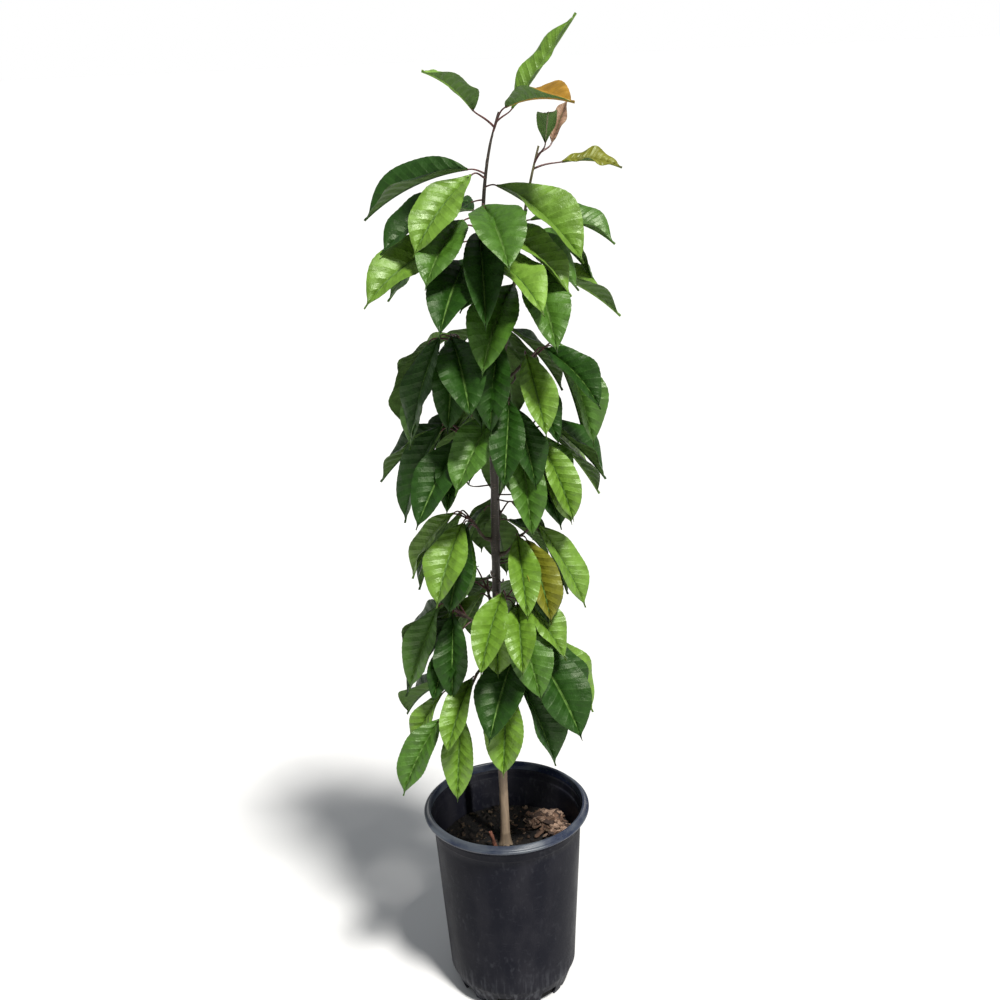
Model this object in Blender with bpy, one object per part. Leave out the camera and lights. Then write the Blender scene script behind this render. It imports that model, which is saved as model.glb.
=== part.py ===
# Young potted fruit tree: a black nursery pot filled with potting mix, a slender trunk that forks
# near its top, two boughs, and the crown as twenty-one masses of leaves, each grown on its own stem.
# Metres, +Z up; the origin is the centre of the pot's flat underside and -Y is the front.

import math
import random

import bmesh
import bpy
from mathutils import Matrix, Vector
from mathutils.bvhtree import BVHTree

# Driving dimensions
GAP = 0.0003

POT_HEIGHT = 0.335
POT_FOOT_RADIUS = 0.103
POT_RIM_RADIUS = 0.135
POT_WALL = 0.0025
POT_FLOOR = 0.003
POT_SIDES = 48
HEEL_HEIGHT = 0.038
HEEL_DEPTH = 0.012
SHOULDER_HEIGHT = 0.302
SHOULDER_INSET = 0.0146
LIP_HEIGHT = 0.3235
DRAIN_COUNT = 8
DRAIN_START = -99.0
DRAIN_WIDTH = 0.030
DRAIN_DEPTH = 0.034
DRAIN_HEIGHT = 0.020

SOIL_TOP = 0.255
SOIL_UNEVEN = 0.004
BARK_PILE_AT = (0.070, 0.045)
BARK_PILE_RADIUS = 0.038
BARK_PILE_HEIGHT = 0.016

LEAN = 1.1
TRUNK_FOOT_X = -0.004
TRUNK_TOP_X = -0.003
TRUNK_BOW = 0.005
TRUNK_FOOT_RADIUS = 0.0076
TRUNK_TOP_RADIUS = 0.0056
FLARE_RADIUS = 0.0042
FLARE_HEIGHT = 0.012
FORK_HEIGHT = 1.115
TRUNK_SIDES = 12
TRUNK_RINGS = 18

# Centre lines of the two leading shoots, as the four control points of one Bezier curve each, set
# out like every other place on the tree from the leaning axis of its crown.
# The bough is the first share of its curve; the stem of the crown above it is the rest.
LEADER_CURVE = ((-0.003, 0.0, FORK_HEIGHT + GAP), (-0.014, -0.004, 1.180),
                (-0.026, -0.006, 1.320), (0.012, -0.005, 1.418))
SHOOT_CURVE = ((0.0055, 0.0, 1.060), (0.020, 0.003, 1.076), (0.030, 0.008, 1.245), (0.066, 0.010, 1.370))
LEADER_SHARE = 0.22
SHOOT_SHARE = 0.40
LEADER_RADII = (0.0048, 0.0014)
SHOOT_RADII = (0.0036, 0.0015)
BOUGH_SIDES = 8

STEM_RADII = (0.0027, 0.0019)
STEM_SIDES = 5
STEM_RINGS = 6
STEM_ARCH = 0.18

PETIOLE_RADIUS = 0.0011
PETIOLE_STATIONS = (0.0, 0.16, 0.58)
BLADE_STATIONS = (0.13, 0.33, 0.56, 0.80)
BLADE_WIDTH = (0.42, 0.56)
SLIM_FULLNESS = 0.70
BLADE_FOLD = 18.0
RIB_DEPTH = 0.024
LEVEL_PITCH = -10.0
LEVEL_BEND = 45.0
HANGING_BEND_LOSS = 0.5
FACE_LIGHT = 22.0
CLEARANCE = 0.0009
TRIES = 40

# Leaves: how far a blade's base lies from its place on the stem and how steeply its stalk rises, then
# the blade's pitch and its length against the mean length of its mass, as lowest and highest value.
STALK_LENGTH = (0.018, 0.040)
STALK_RISE = (0.0, 40.0)
BLADE_PITCH = (-72.0, -40.0)
LENGTH_SPREAD = (0.85, 1.15)
GOLDEN_TURN = 137.5
FAN_BASE = 60.0
FAN_PER_LEAF = 10.0
NODES_A_LEAF = 2
SHOOT_LIFT = 28.0
YOUNG_LEAVES = 3
YOUNG_LIFT = 90.0
YOUNG_SLIMMING = 0.25
PLACE_JITTER = 8.0
HEADING_JITTER = 30.0
ROLL_JITTER = 8.0
SEED = 11

# The most that a leaf without room is shifted, turned, tipped, rolled and shortened.
LOOSE_SHIFT = 0.014
LOOSE_TURN = 24.0
LOOSE_TIP = 16.0
LOOSE_ROLL = 14.0
LOOSE_LOSS = 0.10

# How far leaves keep from the pot's rim, above it and inside it, and from the soil.
RIM_CLEAR = 0.004
RIM_INSIDE = 0.022
SOIL_CLEAR = 0.020

# Habit of a spur and of an upright shoot: leafy share of its stem, bare share below its young leaves,
# whether it stands upright, and where in its fan the first leaf lies.
SPUR_HABIT = (0.60, 0.0, 0.0, 0.50)
SHOOT_HABIT = (0.62, 0.26, 1.0, 0.95)

# Each mass: name, height of its foot on the trunk, bearing, reach and height of its stem's tip, then
# the count of its leaves, the bearing that they fan round and their mean length. Bearings turn
# counter-clockwise seen from above: 0 is right, 90 back, 180 left and 270 front.
MASSES = (
    ("low_front_left", 0.595, 208, 0.080, 0.510, 7, 215, 0.130),
    ("low_front", 0.560, 275, 0.034, 0.572, 5, 275, 0.155),
    ("low_right", 0.630, 345, 0.045, 0.625, 6, 325, 0.155),
    ("low_left", 0.640, 180, 0.070, 0.675, 8, 195, 0.150),
    ("low_centre", 0.685, 285, 0.035, 0.715, 5, 285, 0.140),
    ("low_back_right", 0.605, 50, 0.045, 0.640, 7, 60, 0.125),
    ("low_back_left", 0.665, 120, 0.050, 0.700, 7, 120, 0.125),
    ("waist_left", 0.795, 190, 0.048, 0.835, 7, 205, 0.125),
    ("waist_right", 0.770, 350, 0.036, 0.805, 7, 330, 0.125),
    ("waist_back", 0.785, 90, 0.045, 0.825, 7, 90, 0.125),
    ("mid_left", 0.930, 190, 0.055, 0.970, 8, 205, 0.145),
    ("mid_right", 0.920, 5, 0.045, 0.955, 8, 340, 0.140),
    ("mid_front", 0.980, 285, 0.032, 1.005, 5, 280, 0.140),
    ("mid_back_left", 0.955, 125, 0.050, 0.985, 7, 125, 0.125),
    ("mid_back_right", 0.905, 60, 0.048, 0.935, 7, 60, 0.125),
    ("high_left", 1.060, 186, 0.060, 1.110, 8, 200, 0.150),
    ("high_right", 1.040, 8, 0.060, 1.075, 8, 340, 0.145),
    ("high_front", 1.080, 280, 0.030, 1.115, 4, 275, 0.140),
    ("high_back", 1.065, 95, 0.050, 1.105, 8, 90, 0.125),
)

# The two crowns above the boughs, whose stem is the rest of their shoot's curve: leaf count, the
# bearing that the leaves fan round and their mean length at the stem's foot and at its tip.
LEADER_CROWN = (18, 245, 0.160, 0.160)
SHOOT_CROWN = (12, 330, 0.170, 0.080)

COLOURS = {
    "pot": ((0.018, 0.020, 0.026, 1.0), 0.45),
    "soil": ((0.030, 0.020, 0.013, 1.0), 0.95),
    "bark": ((0.175, 0.120, 0.078, 1.0), 0.80),
    "leaf": ((0.085, 0.200, 0.030, 1.0), 0.42),
}


def material(name):
    found = bpy.data.materials.get(name)
    if found:
        return found
    colour, roughness = COLOURS[name]
    made = bpy.data.materials.new(name)
    made.use_nodes = True
    shader = made.node_tree.nodes["Principled BSDF"]
    shader.inputs["Base Color"].default_value = colour
    shader.inputs["Roughness"].default_value = roughness
    shader.inputs["Metallic"].default_value = 0.0
    return made


def add_object(name, mesh, finish, smooth=True):
    obj = bpy.data.objects.new(name, mesh)
    bpy.context.scene.collection.objects.link(obj)
    mesh.materials.clear()
    mesh.materials.append(material(finish))
    if smooth:
        mesh.shade_smooth()
        mesh.set_sharp_from_angle(angle=math.radians(40.0))
    return obj


def mesh_from(name, verts, faces):
    # A closed mesh with its faces turned outwards.
    bm = bmesh.new()
    made = [bm.verts.new(v) for v in verts]
    for face in faces:
        bm.faces.new([made[i] for i in face])
    bmesh.ops.recalc_face_normals(bm, faces=bm.faces)
    mesh = bpy.data.meshes.new(name)
    bm.to_mesh(mesh)
    bm.free()
    return mesh


def loft(rings, tip=None):
    # Triangles of a tube through rings of equal count, with a flat root and a flat or pointed end.
    count = len(rings[0])
    verts = [v for ring in rings for v in ring]
    faces = [tuple(range(count))]
    for k in range(len(rings) - 1):
        for i in range(count):
            low = k * count
            j = (i + 1) % count
            faces.append((low + i, low + j, low + count + j))
            faces.append((low + i, low + count + j, low + count + i))
    last = (len(rings) - 1) * count
    if tip is None:
        faces.append(tuple(range(last, last + count)))
    else:
        verts.append(tip)
        faces += [(last + i, last + (i + 1) % count, len(verts) - 1) for i in range(count)]
    return verts, faces


def ring_at(centre, along, radius, sides):
    # Points of a regular polygon square to a limb's direction.
    along = along.normalized()
    side = along.cross(Vector((0.0, 1.0, 0.0)) if abs(along.y) < 0.9 else Vector((1.0, 0.0, 0.0)))
    side.normalize()
    other = along.cross(side)
    turns = [2 * math.pi * i / sides for i in range(sides)]
    return [centre + radius * (math.cos(a) * side + math.sin(a) * other) for a in turns]


def leant(point):
    # A place set out from the tree's axis, which leans to the right from the middle of the soil.
    x, y, z = point
    return Vector((x + math.tan(math.radians(LEAN)) * (z - SOIL_TOP), y, z))


def bezier(points, t):
    a, b, c, d = (Vector(p) for p in points)
    s = 1.0 - t
    return s * s * s * a + 3 * s * s * t * b + 3 * s * t * t * c + t * t * t * d


def bezier_run(points, start, end, count):
    return [bezier(points, start + (end - start) * k / (count - 1)) for k in range(count)]


def limb(run, radii, sides, foot=None):
    # A tapering limb along a run of points; its first ring lies square to foot, if given.
    rings = []
    for k, point in enumerate(run):
        along = run[min(k + 1, len(run) - 1)] - run[max(k - 1, 0)]
        radius = radii[0] + (radii[1] - radii[0]) * k / (len(run) - 1)
        rings.append(ring_at(point, foot if foot and k == 0 else along, radius, sides))
    return loft(rings)


def polar(bearing, reach, height):
    a = math.radians(bearing)
    return Vector((reach * math.cos(a), reach * math.sin(a), height))


def from_axis(bearing, reach, height):
    return leant(polar(bearing, reach, height))


def direction(heading, pitch):
    h = math.radians(heading)
    p = math.radians(pitch)
    return Vector((math.cos(p) * math.cos(h), math.cos(p) * math.sin(h), math.sin(p)))


# Pot

def pot_profile():
    # Outer side from the foot up to the lip, then the inner side down to the floor.
    rim = POT_RIM_RADIUS
    low = SHOULDER_HEIGHT
    wall_top = rim - SHOULDER_INSET
    taper = (wall_top - POT_FOOT_RADIUS) / SHOULDER_HEIGHT
    foot = POT_FOOT_RADIUS - HEEL_DEPTH
    waist = POT_FOOT_RADIUS - 0.5 * HEEL_DEPTH
    inner_waist = waist - POT_WALL
    inner_foot = POT_FOOT_RADIUS - POT_WALL
    outer = [(foot - 0.002, 0.0), (foot, 0.002), (waist, 0.5 * HEEL_HEIGHT),
             (POT_FOOT_RADIUS + taper * HEEL_HEIGHT, HEEL_HEIGHT),
             (wall_top, low), (rim - 0.0112, low + 0.0025), (rim - 0.0108, low + 0.0105),
             (rim - 0.0080, low + 0.0125), (rim - 0.0075, LIP_HEIGHT - 0.0015), (rim - 0.001, LIP_HEIGHT),
             (rim, LIP_HEIGHT + 0.0025), (rim - 0.0012, LIP_HEIGHT + 0.005),
             (rim - 0.0072, POT_HEIGHT - 0.0004), (rim - 0.0088, POT_HEIGHT)]
    inner = [(rim - 0.0106, POT_HEIGHT - 0.001), (rim - 0.0112, LIP_HEIGHT - 0.004),
             (rim - 0.0134, low + 0.0145), (rim - 0.0138, low + 0.0065), (wall_top - POT_WALL, low - 0.001),
             (inner_foot + taper * HEEL_HEIGHT, HEEL_HEIGHT), (inner_waist, 0.5 * HEEL_HEIGHT),
             (foot - POT_WALL, POT_FLOOR)]
    return outer + inner


def make_pot():
    bm = bmesh.new()
    profile = [(0.0, 0.0)] + pot_profile() + [(0.0, POT_FLOOR)]
    chain = [bm.verts.new((r, 0.0, z)) for r, z in profile]
    edges = [bm.edges.new(pair) for pair in zip(chain, chain[1:])]
    bmesh.ops.spin(bm, geom=chain + edges, cent=(0, 0, 0), axis=(0, 0, 1), angle=2 * math.pi,
                   steps=POT_SIDES, use_merge=True)
    bmesh.ops.remove_doubles(bm, verts=bm.verts, dist=1e-5)
    bmesh.ops.recalc_face_normals(bm, faces=bm.faces)
    mesh = bpy.data.meshes.new("pot")
    bm.to_mesh(mesh)
    bm.free()
    pot = add_object("pot", mesh, "pot")
    cutters = bpy.data.collections.new("drain_cutters")
    for k in range(DRAIN_COUNT):
        bearing = DRAIN_START + 360.0 * k / DRAIN_COUNT
        cutter = bmesh.new()
        bmesh.ops.create_cube(cutter, size=1.0)
        size = Vector((DRAIN_DEPTH, DRAIN_WIDTH, 2 * DRAIN_HEIGHT))
        for vert in cutter.verts:
            vert.co = vert.co * size
        turn = Matrix.Rotation(math.radians(bearing), 3, "Z")
        place = polar(bearing, POT_FOOT_RADIUS - 0.5 * HEEL_DEPTH, 0.0)
        bmesh.ops.rotate(cutter, verts=cutter.verts, matrix=turn)
        bmesh.ops.translate(cutter, verts=cutter.verts, vec=place)
        cut_mesh = bpy.data.meshes.new("drain")
        cutter.to_mesh(cut_mesh)
        cutter.free()
        cutters.objects.link(bpy.data.objects.new("drain", cut_mesh))
    apply_boolean(pot, cutters, "DIFFERENCE")


def apply_boolean(obj, collection, operation):
    # Joins or cuts with a whole collection, applies the result and removes the collection's objects.
    modifier = obj.modifiers.new("join", "BOOLEAN")
    modifier.operand_type = "COLLECTION"
    modifier.collection = collection
    modifier.operation = operation
    old = obj.data
    for solver in ("EXACT", "MANIFOLD"):
        modifier.solver = solver
        bpy.context.view_layer.update()
        joined = bpy.data.meshes.new_from_object(obj.evaluated_get(bpy.context.evaluated_depsgraph_get()))
        if is_closed(joined):
            break
    obj.modifiers.remove(modifier)
    obj.data = joined
    for part in list(collection.objects):
        bpy.data.objects.remove(part)
    bpy.data.collections.remove(collection)
    bpy.data.meshes.remove(old)
    obj.data.name = obj.name


def is_closed(mesh):
    bm = bmesh.new()
    bm.from_mesh(mesh)
    closed = all(len(edge.link_faces) == 2 for edge in bm.edges)
    bm.free()
    return closed


# Soil

def soil_height(x, y, rng):
    level = SOIL_TOP + rng.uniform(-SOIL_UNEVEN, SOIL_UNEVEN)
    away = math.hypot(x - BARK_PILE_AT[0], y - BARK_PILE_AT[1]) / BARK_PILE_RADIUS
    return level + BARK_PILE_HEIGHT * max(0.0, 1.0 - away * away)


def make_soil():
    # Fills the pot to its level, flat where the trunk stands and heaped where the bark lies.
    rng = random.Random(5)
    taper = (POT_RIM_RADIUS - SHOULDER_INSET - POT_FOOT_RADIUS) / SHOULDER_HEIGHT
    side_radius = POT_FOOT_RADIUS - POT_WALL - 0.003
    foot_radius = side_radius - HEEL_DEPTH
    heel_radius = side_radius + taper * HEEL_HEIGHT
    top_radius = side_radius + taper * SOIL_TOP
    sides = POT_SIDES // 2
    turns = [2 * math.pi * i / sides for i in range(sides)]
    rings = []
    levels = ((foot_radius, POT_FLOOR + GAP), (heel_radius, HEEL_HEIGHT), (top_radius, SOIL_TOP - 0.002))
    for radius, height in levels:
        rings.append([Vector((radius * math.cos(a), radius * math.sin(a), height)) for a in turns])
    for share in (0.80, 0.60, 0.40, 0.20):
        radius = top_radius * share
        ring = []
        for a in turns:
            x = radius * math.cos(a)
            y = radius * math.sin(a)
            height = SOIL_TOP if share < 0.3 else soil_height(x, y, rng)
            ring.append(Vector((x, y, height)))
        rings.append(ring)
    verts, faces = loft(rings)
    add_object("soil", mesh_from("soil", verts, faces), "soil")


# Trunk and boughs

def trunk_centre(z):
    share = (z - SOIL_TOP) / (FORK_HEIGHT - SOIL_TOP)
    sway = TRUNK_FOOT_X + (TRUNK_TOP_X - TRUNK_FOOT_X) * share - TRUNK_BOW * math.sin(math.pi * share)
    return leant((sway, 0.0, z))


def trunk_radius(z):
    share = (z - SOIL_TOP) / (FORK_HEIGHT - SOIL_TOP)
    flare = FLARE_RADIUS * math.exp(-(z - SOIL_TOP) / FLARE_HEIGHT)
    return TRUNK_FOOT_RADIUS + (TRUNK_TOP_RADIUS - TRUNK_FOOT_RADIUS) * share + flare


def trunk_solid():
    foot = SOIL_TOP + GAP
    rings = []
    for k in range(TRUNK_RINGS):
        share = k / (TRUNK_RINGS - 1)
        z = foot + (FORK_HEIGHT - foot) * share ** 1.5
        rings.append(ring_at(trunk_centre(z), Vector((0, 0, 1)), trunk_radius(z), TRUNK_SIDES))
    return loft(rings)


def leader_bough():
    run = leader_run(0.0, LEADER_SHARE, 5)
    thin = LEADER_RADII[0] + (LEADER_RADII[1] - LEADER_RADII[0]) * LEADER_SHARE
    return limb(run, (LEADER_RADII[0], thin), BOUGH_SIDES, Vector((0, 0, 1)))


def shoot_bough():
    run = shoot_run(0.0, SHOOT_SHARE, 6)
    thin = SHOOT_RADII[0] + (SHOOT_RADII[1] - SHOOT_RADII[0]) * SHOOT_SHARE
    return limb(run, (SHOOT_RADII[0], thin), BOUGH_SIDES, Vector((1, 0, 0)))


def leader_run(start, end, count):
    return bezier_run([leant(point) for point in LEADER_CURVE], start, end, count)


def shoot_run(start, end, count):
    # The shoot's curve, with its foot just clear of the trunk's side.
    curve = [leant(point) for point in SHOOT_CURVE]
    curve[0].x = trunk_centre(curve[0].z).x + trunk_radius(curve[0].z - SHOOT_RADII[0]) + GAP
    return bezier_run(curve, start, end, count)


# Leaves

def blade_profile(share, fullness):
    # Half width of a blade along its length, as a share of its greatest half width; the fuller the
    # blade, the further out its broadest part.
    return math.sin(math.pi * share ** fullness) ** 0.72 * (1.0 - 0.22 * share ** 3)


def petiole_curve(node, base, start):
    # Leaves the stem a little upwards and meets the blade along its first direction.
    stalk = (base - node).length
    lifted = node + (base - node) * 0.45 + Vector((0, 0, 0.10 * stalk))
    return node, lifted, base - start * 0.35 * stalk, base


def leaf_rings(node, base, heading, pitch, length, bend, roll, width, extra=0.0):
    # Rings of four points (left, top, right, rib) from the petiole's root to the last station of the
    # blade, and the tip; extra fattens them all for a clearance test.
    start = direction(heading, pitch + bend / 2)
    level = Vector((-math.sin(math.radians(heading)), math.cos(math.radians(heading)), 0.0))
    turn = math.radians(roll)
    fold = math.radians(BLADE_FOLD)
    radius = PETIOLE_RADIUS + extra
    rings = []
    curve = petiole_curve(node, base, start)
    side = level * math.cos(turn) + start.cross(level) * math.sin(turn)
    for share in PETIOLE_STATIONS:
        along = (bezier(curve, share + 0.02) - bezier(curve, share)).normalized()
        swing = start.rotation_difference(along)
        across = swing @ side
        rings.append(diamond(bezier(curve, share), across, along.cross(across), radius))
    rings.append(diamond(base, side, start.cross(side), radius))
    point = base.copy()
    done = 0.0
    for share in BLADE_STATIONS + (1.0,):
        steps = 8
        for k in range(steps):
            middle = done + (share - done) * (k + 0.5) / steps
            step = length * (share - done) / steps
            point = point + direction(heading, pitch + bend * (0.5 - middle)) * step
        done = share
        if share == 1.0:
            break
        along = direction(heading, pitch + bend * (0.5 - share))
        across = level * math.cos(turn) + along.cross(level) * math.sin(turn)
        up = along.cross(across)
        half = 0.5 * width * blade_profile(share, SLIM_FULLNESS + width / length) + extra
        reach = across * (half * math.cos(fold))
        lift = up * (half * math.sin(fold))
        deep = up * (RIB_DEPTH * length * (1.0 - 0.5 * share) + extra)
        rings.append([point - reach + lift, point + up * extra, point + reach + lift, point - deep])
    return rings, point + direction(heading, pitch - bend / 2) * extra


def diamond(centre, across, up, radius):
    return [centre - across * radius, centre + up * radius, centre + across * radius, centre - up * radius]


def leaf_solid(plan, extra=0.0):
    rings, tip = leaf_rings(*plan, extra)
    return loft(rings, tip)


def tree_of(verts, faces):
    return BVHTree.FromPolygons([v[:] for v in verts], faces)


def without_root(rings_of_root, faces):
    # Drops the first rings of a leaf, whose root lies in its stem.
    first = 4 * rings_of_root
    return [face for face in faces if min(face) >= first]


def clear_of_pot(verts):
    for vert in verts:
        outward = math.hypot(vert.x, vert.y)
        if vert.z < POT_HEIGHT + RIM_CLEAR and outward > POT_RIM_RADIUS - RIM_INSIDE:
            return False
        if vert.z < SOIL_TOP + SOIL_CLEAR:
            return False
    return True


def fits(plan, stem_tree, own_leaves, others):
    # True where a fattened leaf touches no limb and no other leaf.
    verts, faces = leaf_solid(plan, CLEARANCE)
    if not clear_of_pot(verts):
        return False
    whole = tree_of(verts, faces)
    beyond_root = tree_of(verts, without_root(1, faces))
    blade = tree_of(verts, without_root(3, faces))
    if blade.overlap(stem_tree) or any(beyond_root.overlap(tree) for tree in own_leaves):
        return False
    return not any(whole.overlap(tree) for tree in others)


def loosened(plan, rng, amount):
    # The same leaf turned, tipped and shifted a little by a seeded draw.
    node, base, heading, pitch, length, bend, roll, width = plan
    shift = Vector([rng.uniform(-1, 1) * LOOSE_SHIFT * amount for _ in range(3)])
    turned = heading + rng.uniform(-LOOSE_TURN, LOOSE_TURN) * amount
    tipped = pitch + rng.uniform(-LOOSE_TIP, LOOSE_TIP) * amount
    shorter = length * (1.0 - LOOSE_LOSS * amount * rng.random())
    rolled = roll + rng.uniform(-LOOSE_ROLL, LOOSE_ROLL) * amount
    return node, base + shift, turned, tipped, shorter, bend, rolled, width


def along_run(run, share):
    place = share * (len(run) - 1)
    low = min(int(place), len(run) - 2)
    return run[low].lerp(run[low + 1], place - low)


def grown_plans(mass, run, nodes, rng):
    # Plans of a mass's leaves from its stem's tip down, fanned round a bearing by the golden turn. A
    # shoot's young leaves stand up at its tip, straight and slim, and below them it is bare a while.
    leafy, bare, upright, fan_start, count, bearing, foot_length, tip_length = mass
    fan = FAN_BASE + FAN_PER_LEAF * count
    plans = []
    for k in range(count):
        share = 1.0 - leafy * k / count - (bare if k >= YOUNG_LEAVES else 0.0)
        youth = upright * max(0.0, 1.0 - k / YOUNG_LEAVES)
        turn = (fan_start + k * GOLDEN_TURN / 360.0) % 1.0 - 0.5
        at = bearing + fan * turn + rng.uniform(-PLACE_JITTER, PLACE_JITTER)
        stalk = direction(at, rng.uniform(*STALK_RISE)) * rng.uniform(*STALK_LENGTH)
        base = along_run(run, share) + stalk
        heading = at + rng.uniform(-HEADING_JITTER, HEADING_JITTER)
        pitch = rng.uniform(*BLADE_PITCH) + SHOOT_LIFT * upright + YOUNG_LIFT * youth
        length = (foot_length + (tip_length - foot_length) * share) * rng.uniform(*LENGTH_SPREAD)
        roll = FACE_LIGHT * math.cos(math.radians(heading)) + rng.uniform(-ROLL_JITTER, ROLL_JITTER)
        width = length * rng.uniform(*BLADE_WIDTH) * (1.0 - YOUNG_SLIMMING * youth)
        bend = (LEVEL_BEND - HANGING_BEND_LOSS * max(0.0, LEVEL_PITCH - pitch)) * (1.0 - youth)
        plans.append((nearest_node(nodes, base), base, heading, pitch, length, bend, roll, width))
    return plans


def nearest_node(stem_points, base):
    # The free node of the stem that is nearest to the blade's base and below or level with it.
    best = min(stem_points, key=lambda p: (p - base).length + 0.6 * max(0.0, p.z - base.z))
    if len(stem_points) > 1:
        stem_points.remove(best)
    return best


def grow_leaves(plans, stem_tree, own_trees, others, rng):
    # The leaves that fit, whose test trees join the mass's own; one that never fits is left out.
    fitted = []
    for plan in plans:
        for k in range(TRIES):
            trial = plan if k == 0 else loosened(plan, rng, k / (TRIES - 1))
            if fits(trial, stem_tree, own_trees, others):
                fitted.append(trial)
                own_trees.append(tree_of(*leaf_solid(trial)))
                break
    return fitted


def make_mass(name, stem, solids):
    obj = add_object(name, mesh_from(name, *stem), "leaf")
    leaves = bpy.data.collections.new(name + "_leaves")
    for verts, faces in solids:
        leaves.objects.link(bpy.data.objects.new("leaf", mesh_from("leaf", verts, faces)))
    apply_boolean(obj, leaves, "UNION")
    obj.data.materials.clear()
    obj.data.materials.append(material("leaf"))


def spur_run(foot_height, bearing, reach, height):
    # A spur's centre line from just clear of the trunk, arching out to its tip.
    tip = from_axis(bearing, reach, height)
    centre = trunk_centre(foot_height)
    out = Vector((tip.x - centre.x, tip.y - centre.y, 0.0)).normalized()
    foot = centre + out * (trunk_radius(foot_height - STEM_RADII[0]) + GAP)
    span = (tip - foot).length
    arch = Vector((0, 0, STEM_ARCH * span))
    curve = (foot, foot + out * 0.35 * span, foot + (tip - foot) * 0.65 + arch, tip)
    return bezier_run(curve, 0.0, 1.0, STEM_RINGS), out


def nodes_along(run, count):
    # Evenly spaced nodes on a stem, clear of its foot and of its very tip.
    return [along_run(run, 0.15 + 0.80 * (k + 0.5) / count) for k in range(count)]


def spur_stem(foot_height, bearing, reach, height):
    run, out = spur_run(foot_height, bearing, reach, height)
    return run, limb(run, STEM_RADII, STEM_SIDES, out)


def crown_stem(run, radii, share):
    # The stem above a bough: the rest of its shoot, starting just clear of the bough's tip.
    run[0] = run[0] + (run[1] - run[0]).normalized() * GAP
    thick = radii[0] + (radii[1] - radii[0]) * share
    return run, limb(run, (thick, radii[1]), STEM_SIDES)


def grow_crown():
    limbs = {"trunk": trunk_solid(), "leader_bough": leader_bough(), "shoot_bough": shoot_bough()}
    for name, solid in limbs.items():
        add_object(name, mesh_from(name, *solid), "bark")
    masses = []
    for name, foot, bearing, reach, height, count, fan_bearing, length in MASSES:
        run, stem = spur_stem(foot, bearing, reach, height)
        masses.append((name, run, stem, (*SPUR_HABIT, count, fan_bearing, length, length)))
    run, stem = crown_stem(leader_run(LEADER_SHARE, 1.0, 12), LEADER_RADII, LEADER_SHARE)
    masses.append(("leader_crown", run, stem, (*SHOOT_HABIT, *LEADER_CROWN)))
    run, stem = crown_stem(shoot_run(SHOOT_SHARE, 1.0, 10), SHOOT_RADII, SHOOT_SHARE)
    masses.append(("shoot_crown", run, stem, (*SHOOT_HABIT, *SHOOT_CROWN)))
    limb_trees = [tree_of(*solid) for solid in limbs.values()]
    stem_trees = [tree_of(*mass[2]) for mass in masses]
    leaf_trees = [[] for mass in masses]
    for index, (name, run, stem, mass) in enumerate(masses):
        rng = random.Random(SEED + index)
        nodes = nodes_along(run, NODES_A_LEAF * mass[4])
        plans = grown_plans(mass, run, nodes, rng)
        others = limb_trees + stem_trees[:index] + stem_trees[index + 1:]
        for trees in leaf_trees[:index]:
            others = others + trees
        leaves = grow_leaves(plans, stem_trees[index], leaf_trees[index], others, rng)
        make_mass(name, stem, [leaf_solid(plan) for plan in leaves])


for old in list(bpy.data.objects):
    bpy.data.objects.remove(old)
make_pot()
make_soil()
grow_crown()
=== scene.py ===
import math
import random

import bmesh
import bpy
from mathutils import Matrix, Vector, noise
from mathutils.bvhtree import BVHTree


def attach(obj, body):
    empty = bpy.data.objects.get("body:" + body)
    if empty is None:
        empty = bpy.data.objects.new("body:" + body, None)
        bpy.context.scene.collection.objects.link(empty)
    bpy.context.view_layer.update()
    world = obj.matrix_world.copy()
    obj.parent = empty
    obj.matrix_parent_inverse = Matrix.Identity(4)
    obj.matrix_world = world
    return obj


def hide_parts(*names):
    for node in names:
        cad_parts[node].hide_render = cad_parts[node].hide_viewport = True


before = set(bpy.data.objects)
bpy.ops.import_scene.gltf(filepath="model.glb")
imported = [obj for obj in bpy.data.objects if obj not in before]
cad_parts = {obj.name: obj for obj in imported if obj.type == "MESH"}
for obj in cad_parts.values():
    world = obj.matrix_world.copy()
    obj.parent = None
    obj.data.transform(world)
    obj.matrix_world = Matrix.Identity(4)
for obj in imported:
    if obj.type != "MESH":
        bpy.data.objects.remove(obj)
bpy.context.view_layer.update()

# Nursery pot
# A grower's container moulded in one piece from black recycled polyethylene: a rolled lip over a
# banded shoulder, stacking ledges inside it, a plain tapering wall and drain openings cut through
# the corner of the foot. It is scuffed, dusty and streaked where water has run down.
POT_HEIGHT = 0.335
POT_FOOT_RADIUS = 0.103
POT_RIM_RADIUS = 0.135
POT_WALL = 0.0025
POT_FLOOR = 0.003
FOOT_ROUND = 0.003
FOOT_TOP = 0.005
HEEL_HEIGHT = 0.038
HEEL_DEPTH = 0.012
SHOULDER_HEIGHT = 0.302
SHOULDER_INSET = 0.0146
WALL_TOP = SHOULDER_HEIGHT - 0.003
LIP_HEIGHT = 0.3235
LIP_ROUND = 0.0028
RIM_ROUND = 0.0024
RIM_INSET = 0.0086
PAINTED_LIP_FROM = LIP_HEIGHT + 0.0004
POT_TAPER = (POT_RIM_RADIUS - SHOULDER_INSET - POT_FOOT_RADIUS) / SHOULDER_HEIGHT
POT_STEPS = 144
WALL_ROWS = 26
HEEL_ROWS = 6

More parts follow.
